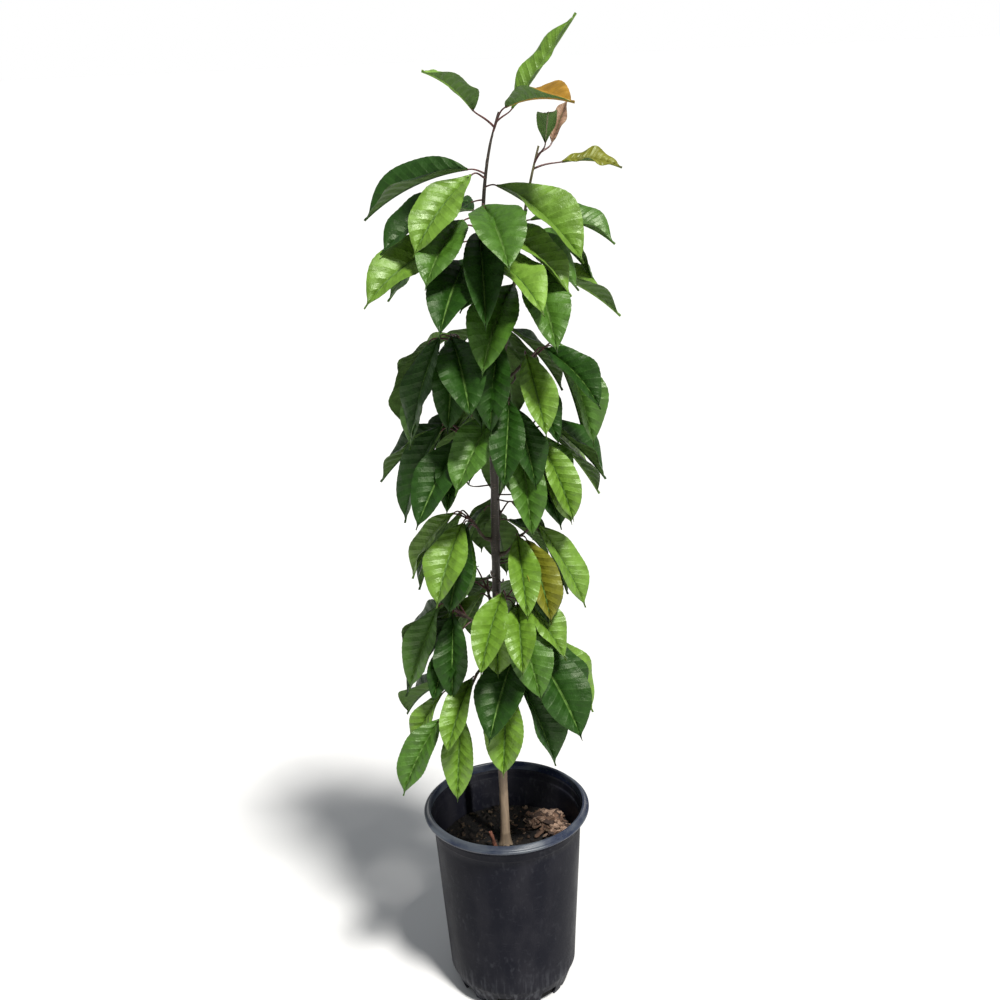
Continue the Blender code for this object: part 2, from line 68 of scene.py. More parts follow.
# Steps of the wall's section: how far each point lies in from the rim and up from the shoulder or,
# for the lip, from the lip's height.
SHOULDER_BANDS = ((0.0120, 0.0008), (0.0113, 0.0025), (0.0108, 0.0105),
                  (0.0100, 0.0118), (0.0081, 0.0124), (0.0076, 0.0138))
LIP_UNDERSIDE = ((0.0074, -0.0008),)
LIP_SLOPE = ((0.0040, 0.0056), (0.0060, 0.0076))
INNER_LEDGES = ((0.0112, 0.0190), (0.0118, 0.0174), (0.0131, 0.0164), (0.0136, 0.0148),
                (0.0139, 0.0068), (0.0146, 0.0050), (0.0160, 0.0040), (0.0166, 0.0022))

# The pot is a little out of round: how much, how quickly that changes round it and up it, and how far
# from its middle it starts.
POT_WARP = 0.0008
WARP_ROUND = 1.3
WARP_UP = 6.0
WARP_FROM_RADIUS = 0.02

# Drain openings, large and small by turns, so many of each: each block's depth, width and height.
DRAIN_COUNT = 8
DRAIN_START = -99.0
DRAIN_SIZE = (0.034, 0.030, 0.042)
SMALL_DRAIN_SIZE = (0.034, 0.008, 0.020)
DRAIN_ROUND = 0.003

# Colours of the plastic, how much of its colour each mark takes, and where its lime streaks fade out.
BLACK_PLASTIC = (0.0085, 0.0090, 0.0140, 1.0)
PLASTIC_DUST = (0.0250, 0.0245, 0.0300, 1.0)
PLASTIC_SCUFF = (0.085, 0.088, 0.100, 1.0)
# The lip's colours are painted light: slate blue for a highlight and navy for a reflection of the sky.
LIP_PAINTED_HIGHLIGHT = (0.055, 0.065, 0.080, 1.0)
LIP_PAINTED_REFLECTION = (0.011, 0.016, 0.036, 1.0)
DUST_COVER = 0.6
RUB_COVER = 0.20
SCRATCH_COVER = 0.07
GRAZE_COVER = 0.30
STREAK_HEIGHTS = (0.012, 0.075)

# The angle between faces, in degrees, past which an edge is drawn sharp.
HARD_CREASE = 35.0


def polar(bearing, reach, height):
    a = math.radians(bearing)
    return Vector((reach * math.cos(a), reach * math.sin(a), height))


def arc(centre, radius, start, end, steps=5):
    turns = [math.radians(start + (end - start) * k / steps) for k in range(steps + 1)]
    return [(centre[0] + radius * math.cos(a), centre[1] + radius * math.sin(a)) for a in turns]


def even_steps(first, last, count):
    return [first + (last - first) * k / (count - 1) for k in range(count)]


def mesh_from(name, bm):
    mesh = bpy.data.meshes.new(name)
    bm.to_mesh(mesh)
    bm.free()
    return mesh


def placed(name, data):
    # A new object in the scene, at the origin.
    made = bpy.data.objects.new(name, data)
    bpy.context.scene.collection.objects.link(made)
    return made


def add_node(tree, kind, sockets=None, **settings):
    # A shader node with its settings; each named socket takes a value or a link from an output.
    made = tree.nodes.new(kind)
    for name, value in settings.items():
        setattr(made, name, value)
    for name, value in (sockets or {}).items():
        if isinstance(value, bpy.types.NodeSocket):
            tree.links.new(value, made.inputs[name])
        else:
            made.inputs[name].default_value = value
    return made


def maths(tree, operation, first, second=0.0):
    return add_node(tree, "ShaderNodeMath", {0: first, 1: second}, operation=operation).outputs[0]


def times(tree, first, second):
    return maths(tree, "MULTIPLY", first, second)


def mixed(tree, mask, first, second):
    # The first colour where the mask is 0 and the second where it is 1.
    return add_node(tree, "ShaderNodeMix", {0: mask, 6: first, 7: second}, data_type="RGBA").outputs[2]


def spread(tree, mask, low, high, start=0.0, end=1.0):
    # A value that runs from low to high as the mask runs from start to end.
    ranged = {"Value": mask, "From Min": start, "From Max": end, "To Min": low, "To Max": high}
    return add_node(tree, "ShaderNodeMapRange", ranged).outputs["Result"]


def shader_group(name, inputs, outputs):
    # An empty node group with named sockets: its tree, what it is given and where its results go.
    tree = bpy.data.node_groups.new(name, "ShaderNodeTree")
    for socket, kind in inputs.items():
        tree.interface.new_socket(socket, in_out="INPUT", socket_type="NodeSocket" + kind)
    for socket, kind in outputs.items():
        tree.interface.new_socket(socket, in_out="OUTPUT", socket_type="NodeSocket" + kind)
    given = tree.nodes.new("NodeGroupInput").outputs
    results = tree.nodes.new("NodeGroupOutput").inputs
    return tree, given, results


def soft_patches_group():
    # Soft-edged patches of cloud noise between two thresholds.
    inputs = {"Vector": "Vector", "Scale": "Float", "Low": "Float", "High": "Float"}
    tree, given, results = shader_group("soft_patches", inputs, {"Mask": "Float"})
    cloud = add_node(tree, "ShaderNodeTexNoise",
                     {"Vector": given["Vector"], "Scale": given["Scale"], "Detail": 5.0})
    ranged = {"Value": cloud.outputs["Fac"], "From Min": given["Low"], "From Max": given["High"]}
    edge = add_node(tree, "ShaderNodeMapRange", ranged, interpolation_type="SMOOTHSTEP")
    tree.links.new(edge.outputs["Result"], results["Mask"])
    return tree


SOFT_PATCHES = soft_patches_group()


def patches(tree, vector, scale, low=0.35, high=0.65):
    # Patches, about so many to a metre, whose edges fade between a low and a high value of the noise.
    sockets = {"Vector": vector, "Scale": scale, "Low": low, "High": high}
    return add_node(tree, "ShaderNodeGroup", sockets, node_tree=SOFT_PATCHES).outputs["Mask"]


def object_place(tree, squeeze=1.0):
    # The place on the object in metres; a squeeze flattens its pattern, or draws it out where under 1.
    coords = tree.nodes.new("ShaderNodeTexCoord").outputs["Object"]
    sockets = {"Vector": coords, "Scale": (1.0, 1.0, squeeze)}
    return add_node(tree, "ShaderNodeMapping", sockets).outputs["Vector"]


def height_on(tree):
    coords = tree.nodes.new("ShaderNodeTexCoord").outputs["Object"]
    return add_node(tree, "ShaderNodeSeparateXYZ", {"Vector": coords}).outputs["Z"]


def add_bump(tree, shader, height, strength, distance):
    bump = add_node(tree, "ShaderNodeBump", {"Height": height, "Strength": strength, "Distance": distance})
    tree.links.new(bump.outputs["Normal"], shader.inputs["Normal"])


def new_finish(name, colour, roughness):
    made = bpy.data.materials.new(name)
    made.use_nodes = True
    shader = made.node_tree.nodes["Principled BSDF"]
    shader.inputs["Base Color"].default_value = colour
    shader.inputs["Roughness"].default_value = roughness
    return made, made.node_tree, shader


def black_plastic():
    # Dull black, dusty in soft patches, scuffed and scratched, and streaked with lime near the foot.
    made, tree, shader = new_finish("black_plastic", BLACK_PLASTIC, 0.45)
    shader.inputs["Specular IOR Level"].default_value = 0.05
    place = object_place(tree)
    dust = patches(tree, object_place(tree, 0.45), 26.0, 0.36, 0.70)
    low_wall = spread(tree, height_on(tree), 1.0, 0.0, *STREAK_HEIGHTS)
    runs = patches(tree, object_place(tree, 0.09), 190.0, 0.44, 0.68)
    smears = patches(tree, object_place(tree, 0.5), 50.0, 0.30, 0.58)
    streaks = times(tree, times(tree, runs, smears), low_wall)
    grazes = patches(tree, object_place(tree, 0.5), 150.0, 0.50, 0.72)
    rubbed = times(tree, grazes, patches(tree, place, 16.0, 0.42, 0.60))
    scratches = patches(tree, object_place(tree, 0.16), 330.0, 0.62, 0.70)
    crosswise = patches(tree, object_place(tree, 4.0), 60.0, 0.62, 0.68)
    scratched = times(tree, maths(tree, "MAXIMUM", scratches, crosswise), SCRATCH_COVER)
    scuffs = maths(tree, "MAXIMUM", times(tree, rubbed, RUB_COVER), scratched)
    dusty = mixed(tree, times(tree, dust, DUST_COVER), BLACK_PLASTIC, PLASTIC_DUST)
    streaked = mixed(tree, streaks, dusty, PLASTIC_SCUFF)
    tree.links.new(mixed(tree, scuffs, streaked, PLASTIC_SCUFF), shader.inputs["Base Color"])
    rough = spread(tree, maths(tree, "MAXIMUM", dust, scuffs), 0.38, 0.58)
    tree.links.new(rough, shader.inputs["Roughness"])
    add_bump(tree, shader, patches(tree, place, 420.0, 0.2, 0.8), 0.18, 0.0006)
    return made


def lip_painted_sheen():
    # The same plastic, smoother and glossier on the lip, painted slate blue there as a highlight and navy
    # in patches as a reflection of the sky, with pale grazes.
    made, tree, shader = new_finish("lip_painted_sheen", LIP_PAINTED_HIGHLIGHT, 0.34)
    shader.inputs["Specular IOR Level"].default_value = 0.50
    place = object_place(tree)
    reflection_patches = patches(tree, object_place(tree, 2.5), 16.0, 0.36, 0.60)
    grazed = times(tree, patches(tree, place, 190.0, 0.58, 0.68), GRAZE_COVER)
    # Navy painted reflection in patches over the slate painted highlight.
    slate = mixed(tree, reflection_patches, LIP_PAINTED_REFLECTION, LIP_PAINTED_HIGHLIGHT)
    tree.links.new(mixed(tree, grazed, slate, PLASTIC_SCUFF), shader.inputs["Base Color"])
    tree.links.new(spread(tree, reflection_patches, 0.26, 0.38), shader.inputs["Roughness"])
    add_bump(tree, shader, patches(tree, place, 300.0, 0.2, 0.8), 0.15, 0.0005)
    return made


def finish_piece(name, bm, materials, nodes=(), crease=HARD_CREASE):
    # Makes the mesh an object at the origin that rides with the plant and stands for its nodes.
    mesh = mesh_from(name, bm)
    for made in materials:
        mesh.materials.append(made)
    mesh.shade_smooth()
    mesh.set_sharp_from_angle(angle=math.radians(crease))
    piece = placed(name, mesh)
    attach(piece, "root")
    if nodes:
        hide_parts(*nodes)


def wall_radius(height):
    # The plain taper, drawn in towards the foot along a rounded heel.
    heel = HEEL_DEPTH * max(0.0, 1.0 - height / HEEL_HEIGHT) ** 0.85
    return POT_FOOT_RADIUS + POT_TAPER * height - heel


def stepped(height, steps):
    # Points of the section from how far each lies in from the rim and up from a height.
    return [(POT_RIM_RADIUS - inset, height + rise) for inset, rise in steps]


def pot_outline():
    # Radius and height round the section, from the middle of the underside up the outside, over the
    # lip and down the inside to the middle of the floor.
    foot = arc((wall_radius(FOOT_ROUND) - FOOT_ROUND, FOOT_ROUND), FOOT_ROUND, -90, -10)
    rows = even_steps(FOOT_TOP, HEEL_HEIGHT, HEEL_ROWS + 1)[:-1]
    rows += even_steps(HEEL_HEIGHT, WALL_TOP, WALL_ROWS)
    wall = [(wall_radius(z), z) for z in rows]
    shoulder = stepped(SHOULDER_HEIGHT, SHOULDER_BANDS) + stepped(LIP_HEIGHT, LIP_UNDERSIDE)
    lip = arc((POT_RIM_RADIUS - LIP_ROUND, LIP_HEIGHT + LIP_ROUND), LIP_ROUND, -90, 62, 9)
    lip += stepped(LIP_HEIGHT, LIP_SLOPE)
    lip += arc((POT_RIM_RADIUS - RIM_INSET, POT_HEIGHT - RIM_ROUND), RIM_ROUND, 60, 180, 7)
    ledges = stepped(SHOULDER_HEIGHT, INNER_LEDGES)
    inside = [(wall_radius(z) - POT_WALL, z) for z in reversed(rows)]
    floor = [(wall_radius(0.0) - POT_WALL, POT_FLOOR), (0.0, POT_FLOOR)]
    return [(0.0, 0.0)] + foot + wall + shoulder + lip + ledges + inside + floor


def cut_openings(bm, cutters):
    # The mesh less its cutters, by a Boolean whose result replaces it.
    work = placed("uncut", mesh_from("uncut", bm))
    tool = placed("cutters", mesh_from("cutters", cutters))
    modifier = work.modifiers.new("cut", "BOOLEAN")
    modifier.operation = "DIFFERENCE"
    modifier.solver = "EXACT"
    modifier.object = tool
    cut = bmesh.new()
    cut.from_object(work, bpy.context.evaluated_depsgraph_get())
    for obj in (work, tool):
        bpy.data.objects.remove(obj)
    return cut


def drain_cutters():
    # Blocks set round the foot, with the two top edges that point outwards rounded.
    cutters = bmesh.new()
    for k in range(2 * DRAIN_COUNT):
        bearing = DRAIN_START + 180.0 * k / DRAIN_COUNT
        size = SMALL_DRAIN_SIZE if k % 2 else DRAIN_SIZE
        place = Matrix.Translation(polar(bearing, POT_FOOT_RADIUS - 0.5 * HEEL_DEPTH, 0.0))
        turn = Matrix.Rotation(math.radians(bearing), 4, "Z")
        shape = place @ turn @ Matrix.Diagonal((*size, 1.0))
        cube = bmesh.ops.create_cube(cutters, size=1.0, matrix=shape)
        top_edges = {edge for vert in cube["verts"] if vert.co.z > 0 for edge in vert.link_edges}
        outward = polar(bearing, 1.0, 0.0)
        rounded = [edge for edge in top_edges
                   if abs((edge.verts[0].co - edge.verts[1].co).normalized().dot(outward)) > 0.9]
        bmesh.ops.bevel(cutters, geom=rounded, offset=DRAIN_ROUND, affect="EDGES", segments=4,
                        profile=0.5, material=-1)
    return cutters


def make_pot():
    bm = bmesh.new()
    chain = [bm.verts.new((r, 0.0, z)) for r, z in pot_outline()]
    edges = [bm.edges.new(pair) for pair in zip(chain, chain[1:])]
    bmesh.ops.spin(bm, geom=chain + edges, cent=(0, 0, 0), axis=(0, 0, 1), angle=2 * math.pi,
                   steps=POT_STEPS, use_merge=True)
    bmesh.ops.remove_doubles(bm, verts=bm.verts, dist=1e-5)
    bmesh.ops.recalc_face_normals(bm, faces=bm.faces)
    for vert in bm.verts:
        x, y, z = vert.co
        reach = math.hypot(x, y)
        if reach > WARP_FROM_RADIUS:
            around = Vector((x / reach * WARP_ROUND, y / reach * WARP_ROUND, z * WARP_UP))
            share = 1.0 + POT_WARP * noise.noise(around) / reach
            vert.co.x *= share
            vert.co.y *= share
    cut = cut_openings(bm, drain_cutters())
    for face in cut.faces:
        # Faces above the lip take its finish of painted highlight and painted sky reflection.
        face.material_index = 1 if face.calc_center_median().z > PAINTED_LIP_FROM else 0
    finish_piece("nursery_pot", cut, [black_plastic(), lip_painted_sheen()], ["pot"])


make_pot()

# Potting mix
# A dark moist mix of composted bark and peat that fills the pot to some 80 mm below its rim, sunk
# and crumbly on top, with coarse shreds lying on it. Paler chips of fresh bark lie in a heap at the
# right back, and the cut stub of a sucker stands in front of the trunk.
SOIL_TOP = 0.255
SOIL_UNEVEN = 0.0035
SOIL_GRAIN = 0.0012
SWELLS_PER_METRE = 38.0
GRAINS_PER_METRE = 210.0
CLODS_PER_METRE = 95.0
SOIL_EDGE_CLEAR = 0.0012
SOIL_FOOT_CLEAR = 0.002
SOIL_FLOOR_CLEAR = 0.0003
SOFT_CREASE = 60.0
SOIL_ROUND = 120
SOIL_RINGS = 34
BARK_PILE_AT = (0.070, 0.045)
BARK_PILE_RADIUS = 0.038
BARK_PILE_HEIGHT = 0.016
PILE_SWELL = 0.8

# Loose pieces: how many, their shortest and longest, and how far they lie above the mix and off the
# wall; strays have a range of bearings and reaches from the middle of the heap.
CRUMB_COUNT = 520
CRUMB_LENGTH = (0.0035, 0.0100)
CRUMB_LIFT = 0.0005
CRUMBS_OFF_WALL = 0.010
CRUMBS_OFF_MIDDLE = 0.014
CHIP_COUNT = 150
CHIP_LENGTH = (0.0070, 0.0190)
CHIP_LIFT = 0.006
CHIPS_OFF_WALL = 0.012
STRAY_CHIP_COUNT = 46
STRAY_CHIP_LENGTH = (0.0050, 0.0130)
STRAY_LIFT = 0.001
STRAY_BEARINGS = (120, 300)
STRAY_REACH = (0.02, 0.085)
CHIP_WIDTH_SHARE = (0.30, 0.60)
CHIP_THICKNESS_SHARE = (0.14, 0.30)
CHIP_TILT = 0.6
CHIP_PULL = 0.17
CHIP_CREASE = 25.0

# The stub: its place, its radius and height, and how it stands.
STUB_AT = (-0.024, -0.012)
STUB_SIZE = (0.0034, 0.036)
STUB_SUNK = 0.004
STUB_LEAN = -14.0
STUB_TAPER = (1.15, 0.85)
STUB_UNEVEN = 0.0007
STUB_SEED = 3

# Colours of the mix, of the chips and crumbs on it and of the stub.
WET_MIX = (0.0040, 0.0030, 0.0026, 1.0)
DRY_MIX = (0.0100, 0.0072, 0.0060, 1.0)
CHIP_TONES = {"chip_pale": (0.240, 0.160, 0.115, 1.0), "chip_tan": (0.110, 0.064, 0.042, 1.0),
              "chip_dark": (0.036, 0.021, 0.015, 1.0)}
CRUMB_TONES = {"crumb_black": (0.0060, 0.0042, 0.0030, 1.0), "crumb_brown": (0.014, 0.009, 0.006, 1.0),
               "crumb_straw": (0.060, 0.040, 0.024, 1.0)}
STUB_BARK = (0.110, 0.040, 0.024, 1.0)


def earthy(name, wet, dry, scale, relief):
    # Crumbly matter, drier in patches and rough all over.
    made, tree, shader = new_finish(name, wet, 0.92)
    place = object_place(tree)
    tree.links.new(mixed(tree, patches(tree, place, scale), wet, dry), shader.inputs["Base Color"])
    add_bump(tree, shader, patches(tree, place, 6.0 * scale, 0.2, 0.8), 0.7, relief)
    return made


def lighter(colour, share):
    return tuple(channel * share for channel in colour[:3]) + (1.0,)


def lumps(x, y, per_metre, slice_level):
    # Smooth ups and downs over the plan, read off one slice of the noise.
    return noise.noise(Vector((x * per_metre, y * per_metre, slice_level)))


def soil_height(x, y):
    level = SOIL_TOP + SOIL_UNEVEN * lumps(x, y, SWELLS_PER_METRE, 2.0)
    level += SOIL_GRAIN * lumps(x, y, GRAINS_PER_METRE, 5.0)
    level += 2 * SOIL_GRAIN * max(0.0, lumps(x, y, CLODS_PER_METRE, 9.0))
    away = math.hypot(x - BARK_PILE_AT[0], y - BARK_PILE_AT[1]) / BARK_PILE_RADIUS
    return level + PILE_SWELL * BARK_PILE_HEIGHT * max(0.0, 1.0 - away * away)


def make_soil():
    # A disc of rings, let down as a plug to the pot's floor.
    edge = wall_radius(SOIL_TOP) - POT_WALL - SOIL_EDGE_CLEAR
    bm = bmesh.new()
    bmesh.ops.create_circle(bm, cap_ends=True, segments=SOIL_ROUND, radius=edge)
    top = bm.faces[:]
    rim_edges = bm.edges[:]
    for k in range(SOIL_RINGS):
        bmesh.ops.inset_region(bm, faces=top, thickness=edge / (SOIL_RINGS + 1), use_even_offset=False)
    bmesh.ops.poke(bm, faces=top)
    for vert in bm.verts:
        vert.co.z = soil_height(vert.co.x, vert.co.y)
    side = bmesh.ops.extrude_edge_only(bm, edges=rim_edges)["geom"]
    foot = [item for item in side if isinstance(item, bmesh.types.BMVert)]
    shrink = (wall_radius(0.0) - POT_WALL - SOIL_FOOT_CLEAR) / edge
    for vert in foot:
        vert.co = Vector((vert.co.x * shrink, vert.co.y * shrink, POT_FLOOR + SOIL_FLOOR_CLEAR))
    bmesh.ops.contextual_create(bm, geom=[item for item in side if isinstance(item, bmesh.types.BMEdge)
                                          and all(v in foot for v in item.verts)])
    bmesh.ops.recalc_face_normals(bm, faces=bm.faces)
    mix = earthy("potting_mix", WET_MIX, DRY_MIX, 70.0, 0.004)
    finish_piece("potting_mix", bm, [mix], ["soil"], SOFT_CREASE)


def chip_pattern():
    # A block of unit size cut in three along its length.
    bm = bmesh.new()
    bmesh.ops.create_cube(bm, size=1.0)
    long_edges = [edge for edge in bm.edges if abs(edge.verts[0].co.x - edge.verts[1].co.x) > 0.5]
    bmesh.ops.subdivide_edges(bm, edges=long_edges, cuts=2)
    return mesh_from("chip_pattern", bm)


def add_pattern(bm, pattern):
    # Adds a copy of the pattern and gives the copy's vertices and faces.
    first_vert = len(bm.verts)
    first_face = len(bm.faces)
    bm.from_mesh(pattern)
    bm.verts.ensure_lookup_table()
    bm.faces.ensure_lookup_table()
    return bm.verts[first_vert:], bm.faces[first_face:]


def add_chip(bm, pattern, place, size, rng, tone):
    # A torn flake of bark: the block with its corners pulled about, lying at any angle.
    turn = Matrix.Rotation(rng.uniform(0, 2 * math.pi), 4, "Z")
    tilt = Matrix.Rotation(rng.uniform(-CHIP_TILT, CHIP_TILT), 4, "Y")
    tip = Matrix.Rotation(rng.uniform(-CHIP_TILT, CHIP_TILT), 4, "X")
    shape = Matrix.Translation(place) @ (turn @ tilt) @ tip @ Matrix.Diagonal((*size, 1.0))
    verts, faces = add_pattern(bm, pattern)
    for vert in verts:
        pull = [rng.uniform(-CHIP_PULL, CHIP_PULL) for _ in range(3)]
        vert.co = shape @ (vert.co + Vector(pull))
    for face in faces:
        face.material_index = tone


def scatter_chips(name, count, place_one, size_range, tones):
    rng = random.Random(len(name))
    pattern = chip_pattern()
    bm = bmesh.new()
    for k in range(count):
        x, y, lift = place_one(rng)
        long_side = rng.uniform(*size_range)
        wide_side = long_side * rng.uniform(*CHIP_WIDTH_SHARE)
        thickness = long_side * rng.uniform(*CHIP_THICKNESS_SHARE)
        spot = Vector((x, y, soil_height(x, y) + lift))
        size = (long_side, wide_side, thickness)
        add_chip(bm, pattern, spot, size, rng, rng.randrange(len(tones)))
    bpy.data.meshes.remove(pattern)
    bmesh.ops.recalc_face_normals(bm, faces=bm.faces)
    finishes = [earthy(tone, colour, lighter(colour, 1.6), 160.0, 0.002) for tone, colour in tones.items()]
    finish_piece(name, bm, finishes, crease=CHIP_CREASE)


def anywhere(rng):
    reach = (wall_radius(SOIL_TOP) - CRUMBS_OFF_WALL) * math.sqrt(rng.random())
    at = polar(rng.uniform(0, 360), max(reach, CRUMBS_OFF_MIDDLE), 0.0)
    return at.x, at.y, CRUMB_LIFT


def within_wall(at):
    # The place itself or, where it lies too near the wall or past it, one drawn in.
    limit = wall_radius(SOIL_TOP) - CHIPS_OFF_WALL
    return at * (limit / at.length) if at.length > limit else at


def in_pile(rng):
    reach = BARK_PILE_RADIUS * rng.random() ** 0.7
    at = within_wall(polar(rng.uniform(0, 360), reach, 0.0) + Vector((*BARK_PILE_AT, 0.0)))
    return at.x, at.y, rng.uniform(0.0, CHIP_LIFT)


def near_pile(rng):
    away = polar(rng.uniform(*STRAY_BEARINGS), rng.uniform(*STRAY_REACH), 0.0)
    at = within_wall(Vector((*BARK_PILE_AT, 0.0)) + away)
    return at.x, at.y, STRAY_LIFT


def make_stub():
    # The sucker's cut stump, drawn in a little towards its top.
    radius, height = STUB_SIZE
    bm = bmesh.new()
    middle = Vector((*STUB_AT, SOIL_TOP - STUB_SUNK)) + Vector((0, 0, height / 2))
    lean = Matrix.Rotation(math.radians(STUB_LEAN), 4, "Y")
    low_radius, top_radius = [radius * share for share in STUB_TAPER]
    bmesh.ops.create_cone(bm, cap_ends=True, segments=14, radius1=low_radius, radius2=top_radius,
                          depth=height, matrix=Matrix.Translation(middle) @ lean)
    sides = [edge for edge in bm.edges if abs(edge.verts[0].co.z - edge.verts[1].co.z) > height / 2]
    bmesh.ops.subdivide_edges(bm, edges=sides, cuts=5)
    noise.seed_set(STUB_SEED)
    for vert in bm.verts:
        vert.co += STUB_UNEVEN * noise.noise_vector(vert.co * 260.0)
    bark = earthy("stub_bark", STUB_BARK, lighter(STUB_BARK, 1.9), 120.0, 0.002)
    finish_piece("sucker_stub", bm, [bark])


make_soil()
scatter_chips("soil_crumbs", CRUMB_COUNT, anywhere, CRUMB_LENGTH, CRUMB_TONES)
scatter_chips("bark_heap", CHIP_COUNT, in_pile, CHIP_LENGTH, CHIP_TONES)
scatter_chips("stray_bark_chips", STRAY_CHIP_COUNT, near_pile, STRAY_CHIP_LENGTH, CHIP_TONES)
make_stub()

# Trunk and boughs
# One slender upright stem, a year or two old, that runs on past its fork as the leader; a second
# shoot leaves its right side just below the fork. The bark is smooth and satiny grey brown, with pale
# crosswise pores, a ringed scar at each spur and a slight flare at the soil; its foot is painted sunlit
# tan.
LEAN = 1.1
TRUNK_FOOT_X = -0.004
TRUNK_TOP_X = -0.003
TRUNK_BOW = 0.005
TRUNK_FOOT_RADIUS = 0.0076
TRUNK_TOP_RADIUS = 0.0056
FLARE_RADIUS = 0.0042
FLARE_HEIGHT = 0.012
FORK_HEIGHT = 1.115
GAP = 0.0003
LEADER_CURVE = ((-0.003, 0.0, FORK_HEIGHT + GAP), (-0.014, -0.004, 1.180),
                (-0.026, -0.006, 1.320), (0.012, -0.005, 1.418))
SHOOT_CURVE = ((0.0055, 0.0, 1.060), (0.020, 0.003, 1.076), (0.030, 0.008, 1.245), (0.066, 0.010, 1.370))
LEADER_SHARE = 0.22
SHOOT_SHARE = 0.40
LEADER_RADII = (0.0048, 0.0014)
SHOOT_RADII = (0.0036, 0.0015)
TRUNK_POINTS = 260
LEADER_POINTS = 90
SHOOT_POINTS = 90
LEADER_BLEND = 6
SOCKET_WIDENING = 1.5
SOCKET_DROP = 0.004
COLLAR_SWELL = 0.4
COLLAR_POINTS = 4.0

# Relief of the bark, and how quickly its swells and its pores change across the limb and up it.
BARK_UNEVEN = 0.00045
SWELLS_BY_AXIS = (130, 32)
PORE_RELIEF = 0.00030
PORES_BY_AXIS = (170, 560)
PORE_LEVEL = 0.25
PORE_SOFTNESS = 0.3
SCAR_SWELL = 0.0016
SCAR_HEIGHT = 0.0065
SCAR_REACH = 2.5

# Colours of the bark, from the foot up, and the heights at which it has the first, second and third. The
# tan foot is painted sunlight; above its height the bark's own darker colour also stands for the crown's
# shade.
PAINTED_SUNLIT_BARK = (0.300, 0.225, 0.155, 1.0)
MID_BARK = (0.040, 0.029, 0.023, 1.0)
YOUNG_BARK = (0.030, 0.022, 0.015, 1.0)
PORE = (0.180, 0.135, 0.095, 1.0)
GREEN_SHOOT = (0.135, 0.120, 0.050, 1.0)
TRUNK_COLOURS = (PAINTED_SUNLIT_BARK, MID_BARK, YOUNG_BARK)
TRUNK_COLOUR_HEIGHTS = (0.32, 0.48, 1.23)
SHOOT_COLOURS = (MID_BARK, GREEN_SHOOT, GREEN_SHOOT)
SHOOT_COLOUR_HEIGHTS = (1.05, 1.19, 1.33)
STRAND_COVER = 0.45
PORE_COVER = 0.60


def leant(point):
    # A place set out from the tree's axis, which leans to the right from the middle of the soil.
    x, y, z = point
    return Vector((x + math.tan(math.radians(LEAN)) * (z - SOIL_TOP), y, z))


def bezier(points, t):
    a, b, c, d = (Vector(p) for p in points)
    s = 1.0 - t
    return s * s * s * a + 3 * s * s * t * b + 3 * s * t * t * c + t * t * t * d


def bezier_run(points, start, end, count):
    return [bezier(points, t) for t in even_steps(start, end, count)]


def trunk_centre(z):
    share = (z - SOIL_TOP) / (FORK_HEIGHT - SOIL_TOP)
    sway = TRUNK_FOOT_X + (TRUNK_TOP_X - TRUNK_FOOT_X) * share - TRUNK_BOW * math.sin(math.pi * share)
    return leant((sway, 0.0, z))


def trunk_radius(z):
    share = (z - SOIL_TOP) / (FORK_HEIGHT - SOIL_TOP)
    flare = FLARE_RADIUS * math.exp(-(z - SOIL_TOP) / FLARE_HEIGHT)
    return TRUNK_FOOT_RADIUS + (TRUNK_TOP_RADIUS - TRUNK_FOOT_RADIUS) * share + flare


def leader_run(start, end, count):
    return bezier_run([leant(point) for point in LEADER_CURVE], start, end, count)


def shoot_run(start, end, count):
    # The shoot's curve, with its foot just clear of the trunk's side.
    curve = [leant(point) for point in SHOOT_CURVE]
    curve[0].x = trunk_centre(curve[0].z).x + trunk_radius(curve[0].z - SHOOT_RADII[0]) + GAP
    return bezier_run(curve, start, end, count)


def round_limbs(runs, sides):
    # Round limbs with closed ends, each along its points with a radius at every point.
    curve = bpy.data.curves.new("limbs", "CURVE")
    curve.dimensions = "3D"
    curve.bevel_depth = 1.0
    curve.bevel_resolution = sides // 2 - 2
    curve.use_fill_caps = True
    for points, radii in runs:
        spline = curve.splines.new("POLY")
        spline.points.add(len(points) - 1)
        for spot, point, radius in zip(spline.points, points, radii):
            spot.co = (*point, 1.0)
            spot.radius = radius
    drawn = bpy.data.objects.new("limbs", curve)
    bm = bmesh.new()
    bm.from_mesh(bpy.data.meshes.new_from_object(drawn))
    bpy.data.objects.remove(drawn)
    bmesh.ops.remove_doubles(bm, verts=bm.verts, dist=1e-6)
    bmesh.ops.recalc_face_normals(bm, faces=bm.faces)
    return bm


